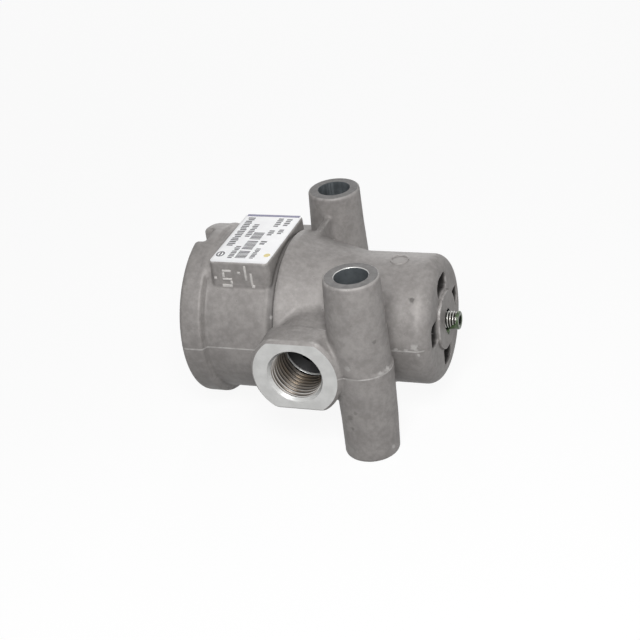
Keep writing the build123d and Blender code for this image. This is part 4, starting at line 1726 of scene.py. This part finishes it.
@dataclass
class Studio:
    """Pale floor, soft lamps and the camera of the photograph, in metres and degrees.

    A lamp is its name, its place, its size and its power in watts.
    """

    place: Place = (0.132243, -0.334968, 0.227331)
    tilt: tuple[float, float, float] = (60.65723, 7.231809, 19.042619)
    lens: float = 79.6876
    sensor: float = 36.0
    lamps: tuple = (
        ("key_lamp", (0.075, -0.225, 0.25), 0.13, 0.95),
        ("fill_lamp", (1.1, 0.1, 0.35), 0.5, 2.2),
        ("back_lamp", (-0.3, 1.05, 0.4), 0.5, 3.2),
    )
    ambient: float = 0.08
    floor_bounce: float = 0.25
    floor_tone: float = 0.93
    floor_glow: float = 0.92
    floor_half_mm: float = 3000.0

    def build(self) -> None:
        """Set up the floor, the light and the camera."""
        self.floor()
        self.world()
        for lamp in self.lamps:
            self.lamp(*lamp)
        camera = bpy.data.objects.new("camera", bpy.data.cameras.new("camera"))
        camera.location = self.place
        camera.rotation_euler = Euler([math.radians(a) for a in self.tilt], "XYZ")
        camera.data.lens = self.lens
        camera.data.sensor_width = self.sensor
        camera.data.clip_start, camera.data.clip_end = 0.01, 20.0
        bpy.context.scene.collection.objects.link(camera)
        bpy.context.scene.camera = camera
        bpy.context.scene.view_settings.view_transform = "Standard"

    def lamp(self, name: str, place: Place, size: float, power: float) -> None:
        """Hang a soft square lamp that points at the valve.

        Args:
            name: the lamp's name.
            place: where it hangs.
            size: the length of its side.
            power: its power in watts.
        """
        light = bpy.data.lights.new(name, "AREA")
        light.size, light.energy = size, power
        obj = bpy.data.objects.new(name, light)
        obj.location = place
        aim = Vector((0, 0, AXIS_Z * MM)) - Vector(place)
        obj.rotation_euler = aim.to_track_quat("-Z", "Y").to_euler()
        bpy.context.scene.collection.objects.link(obj)

    def floor(self) -> None:
        """Lay a wide pale floor that shows white and keeps the shadow."""
        finish = bpy.data.materials.new("studio_floor")
        finish.use_nodes = True
        tree = finish.node_tree
        shader = tree.nodes["Principled BSDF"]
        shader.inputs["Roughness"].default_value = 0.9
        tone = tree.nodes.new("ShaderNodeMix")
        tone.data_type = "RGBA"
        tree.links.new(self.seen(tree), tone.inputs["Factor"])
        tone.inputs["A"].default_value = (self.floor_bounce,) * 3 + (1.0,)
        tone.inputs["B"].default_value = (self.floor_tone,) * 3 + (1.0,)
        tree.links.new(tone.outputs["Result"], shader.inputs["Base Color"])
        glow = tree.nodes.new("ShaderNodeEmission")
        share = tree.nodes.new("ShaderNodeMath")
        share.operation = "MULTIPLY"
        tree.links.new(self.seen(tree), share.inputs[0])
        share.inputs[1].default_value = self.floor_glow
        mix = tree.nodes.new("ShaderNodeMixShader")
        tree.links.new(share.outputs[0], mix.inputs["Fac"])
        tree.links.new(shader.outputs[0], mix.inputs[1])
        tree.links.new(glow.outputs[0], mix.inputs[2])
        tree.links.new(mix.outputs[0], tree.nodes["Material Output"].inputs["Surface"])
        half = self.floor_half_mm
        points = [(-half, -half, 0), (half, -half, 0), (half, half, 0), (-half, half, 0)]
        obj = mesh_object("studio_floor", np.array(points), [[0, 1, 2, 3]], finish)

    @staticmethod
    def seen(tree: bpy.types.NodeTree) -> bpy.types.NodeSocket:
        """Tell the rays that show a surface from those that light one.

        Args:
            tree: the node tree to build in.

        Returns:
            1 for rays that show a surface directly or in a reflection, and 0 for the others.
        """
        path = tree.nodes.new("ShaderNodeLightPath")
        total = path.outputs["Is Camera Ray"]
        for name in ("Is Glossy Ray", "Is Transmission Ray"):
            larger = tree.nodes.new("ShaderNodeMath")
            larger.operation = "MAXIMUM"
            tree.links.new(total, larger.inputs[0])
            tree.links.new(path.outputs[name], larger.inputs[1])
            total = larger.outputs[0]
        return total

    def world(self) -> None:
        """Light the scene from all round, and show plain white behind it."""
        world = bpy.data.worlds.new("studio")
        bpy.context.scene.world = world
        world.use_nodes = True
        tree = world.node_tree
        back = tree.nodes["Background"]
        back.inputs["Color"].default_value = (1.0, 1.0, 1.0, 1.0)
        level = tree.nodes.new("ShaderNodeMapRange")
        level.inputs["To Min"].default_value = self.ambient
        level.inputs["To Max"].default_value = 1.0
        tree.links.new(self.seen(tree), level.inputs["Value"])
        tree.links.new(level.outputs["Result"], back.inputs["Strength"])


def main() -> None:
    """Build every sub-assembly in order."""
    logging.basicConfig(level=logging.INFO, format="%(message)s")
    Studio().build()
    Casting().build()
    PortThread("outlet_thread", OUTLET_X, -1).build()
    PortThread("inlet_thread", INLET_X, 1).build()
    CastMarks().build()
    Label().build()
    AdjustingScrew().build()
    SealLacquer().build()
    Insides().build()


if __name__ == "__main__":
    main()
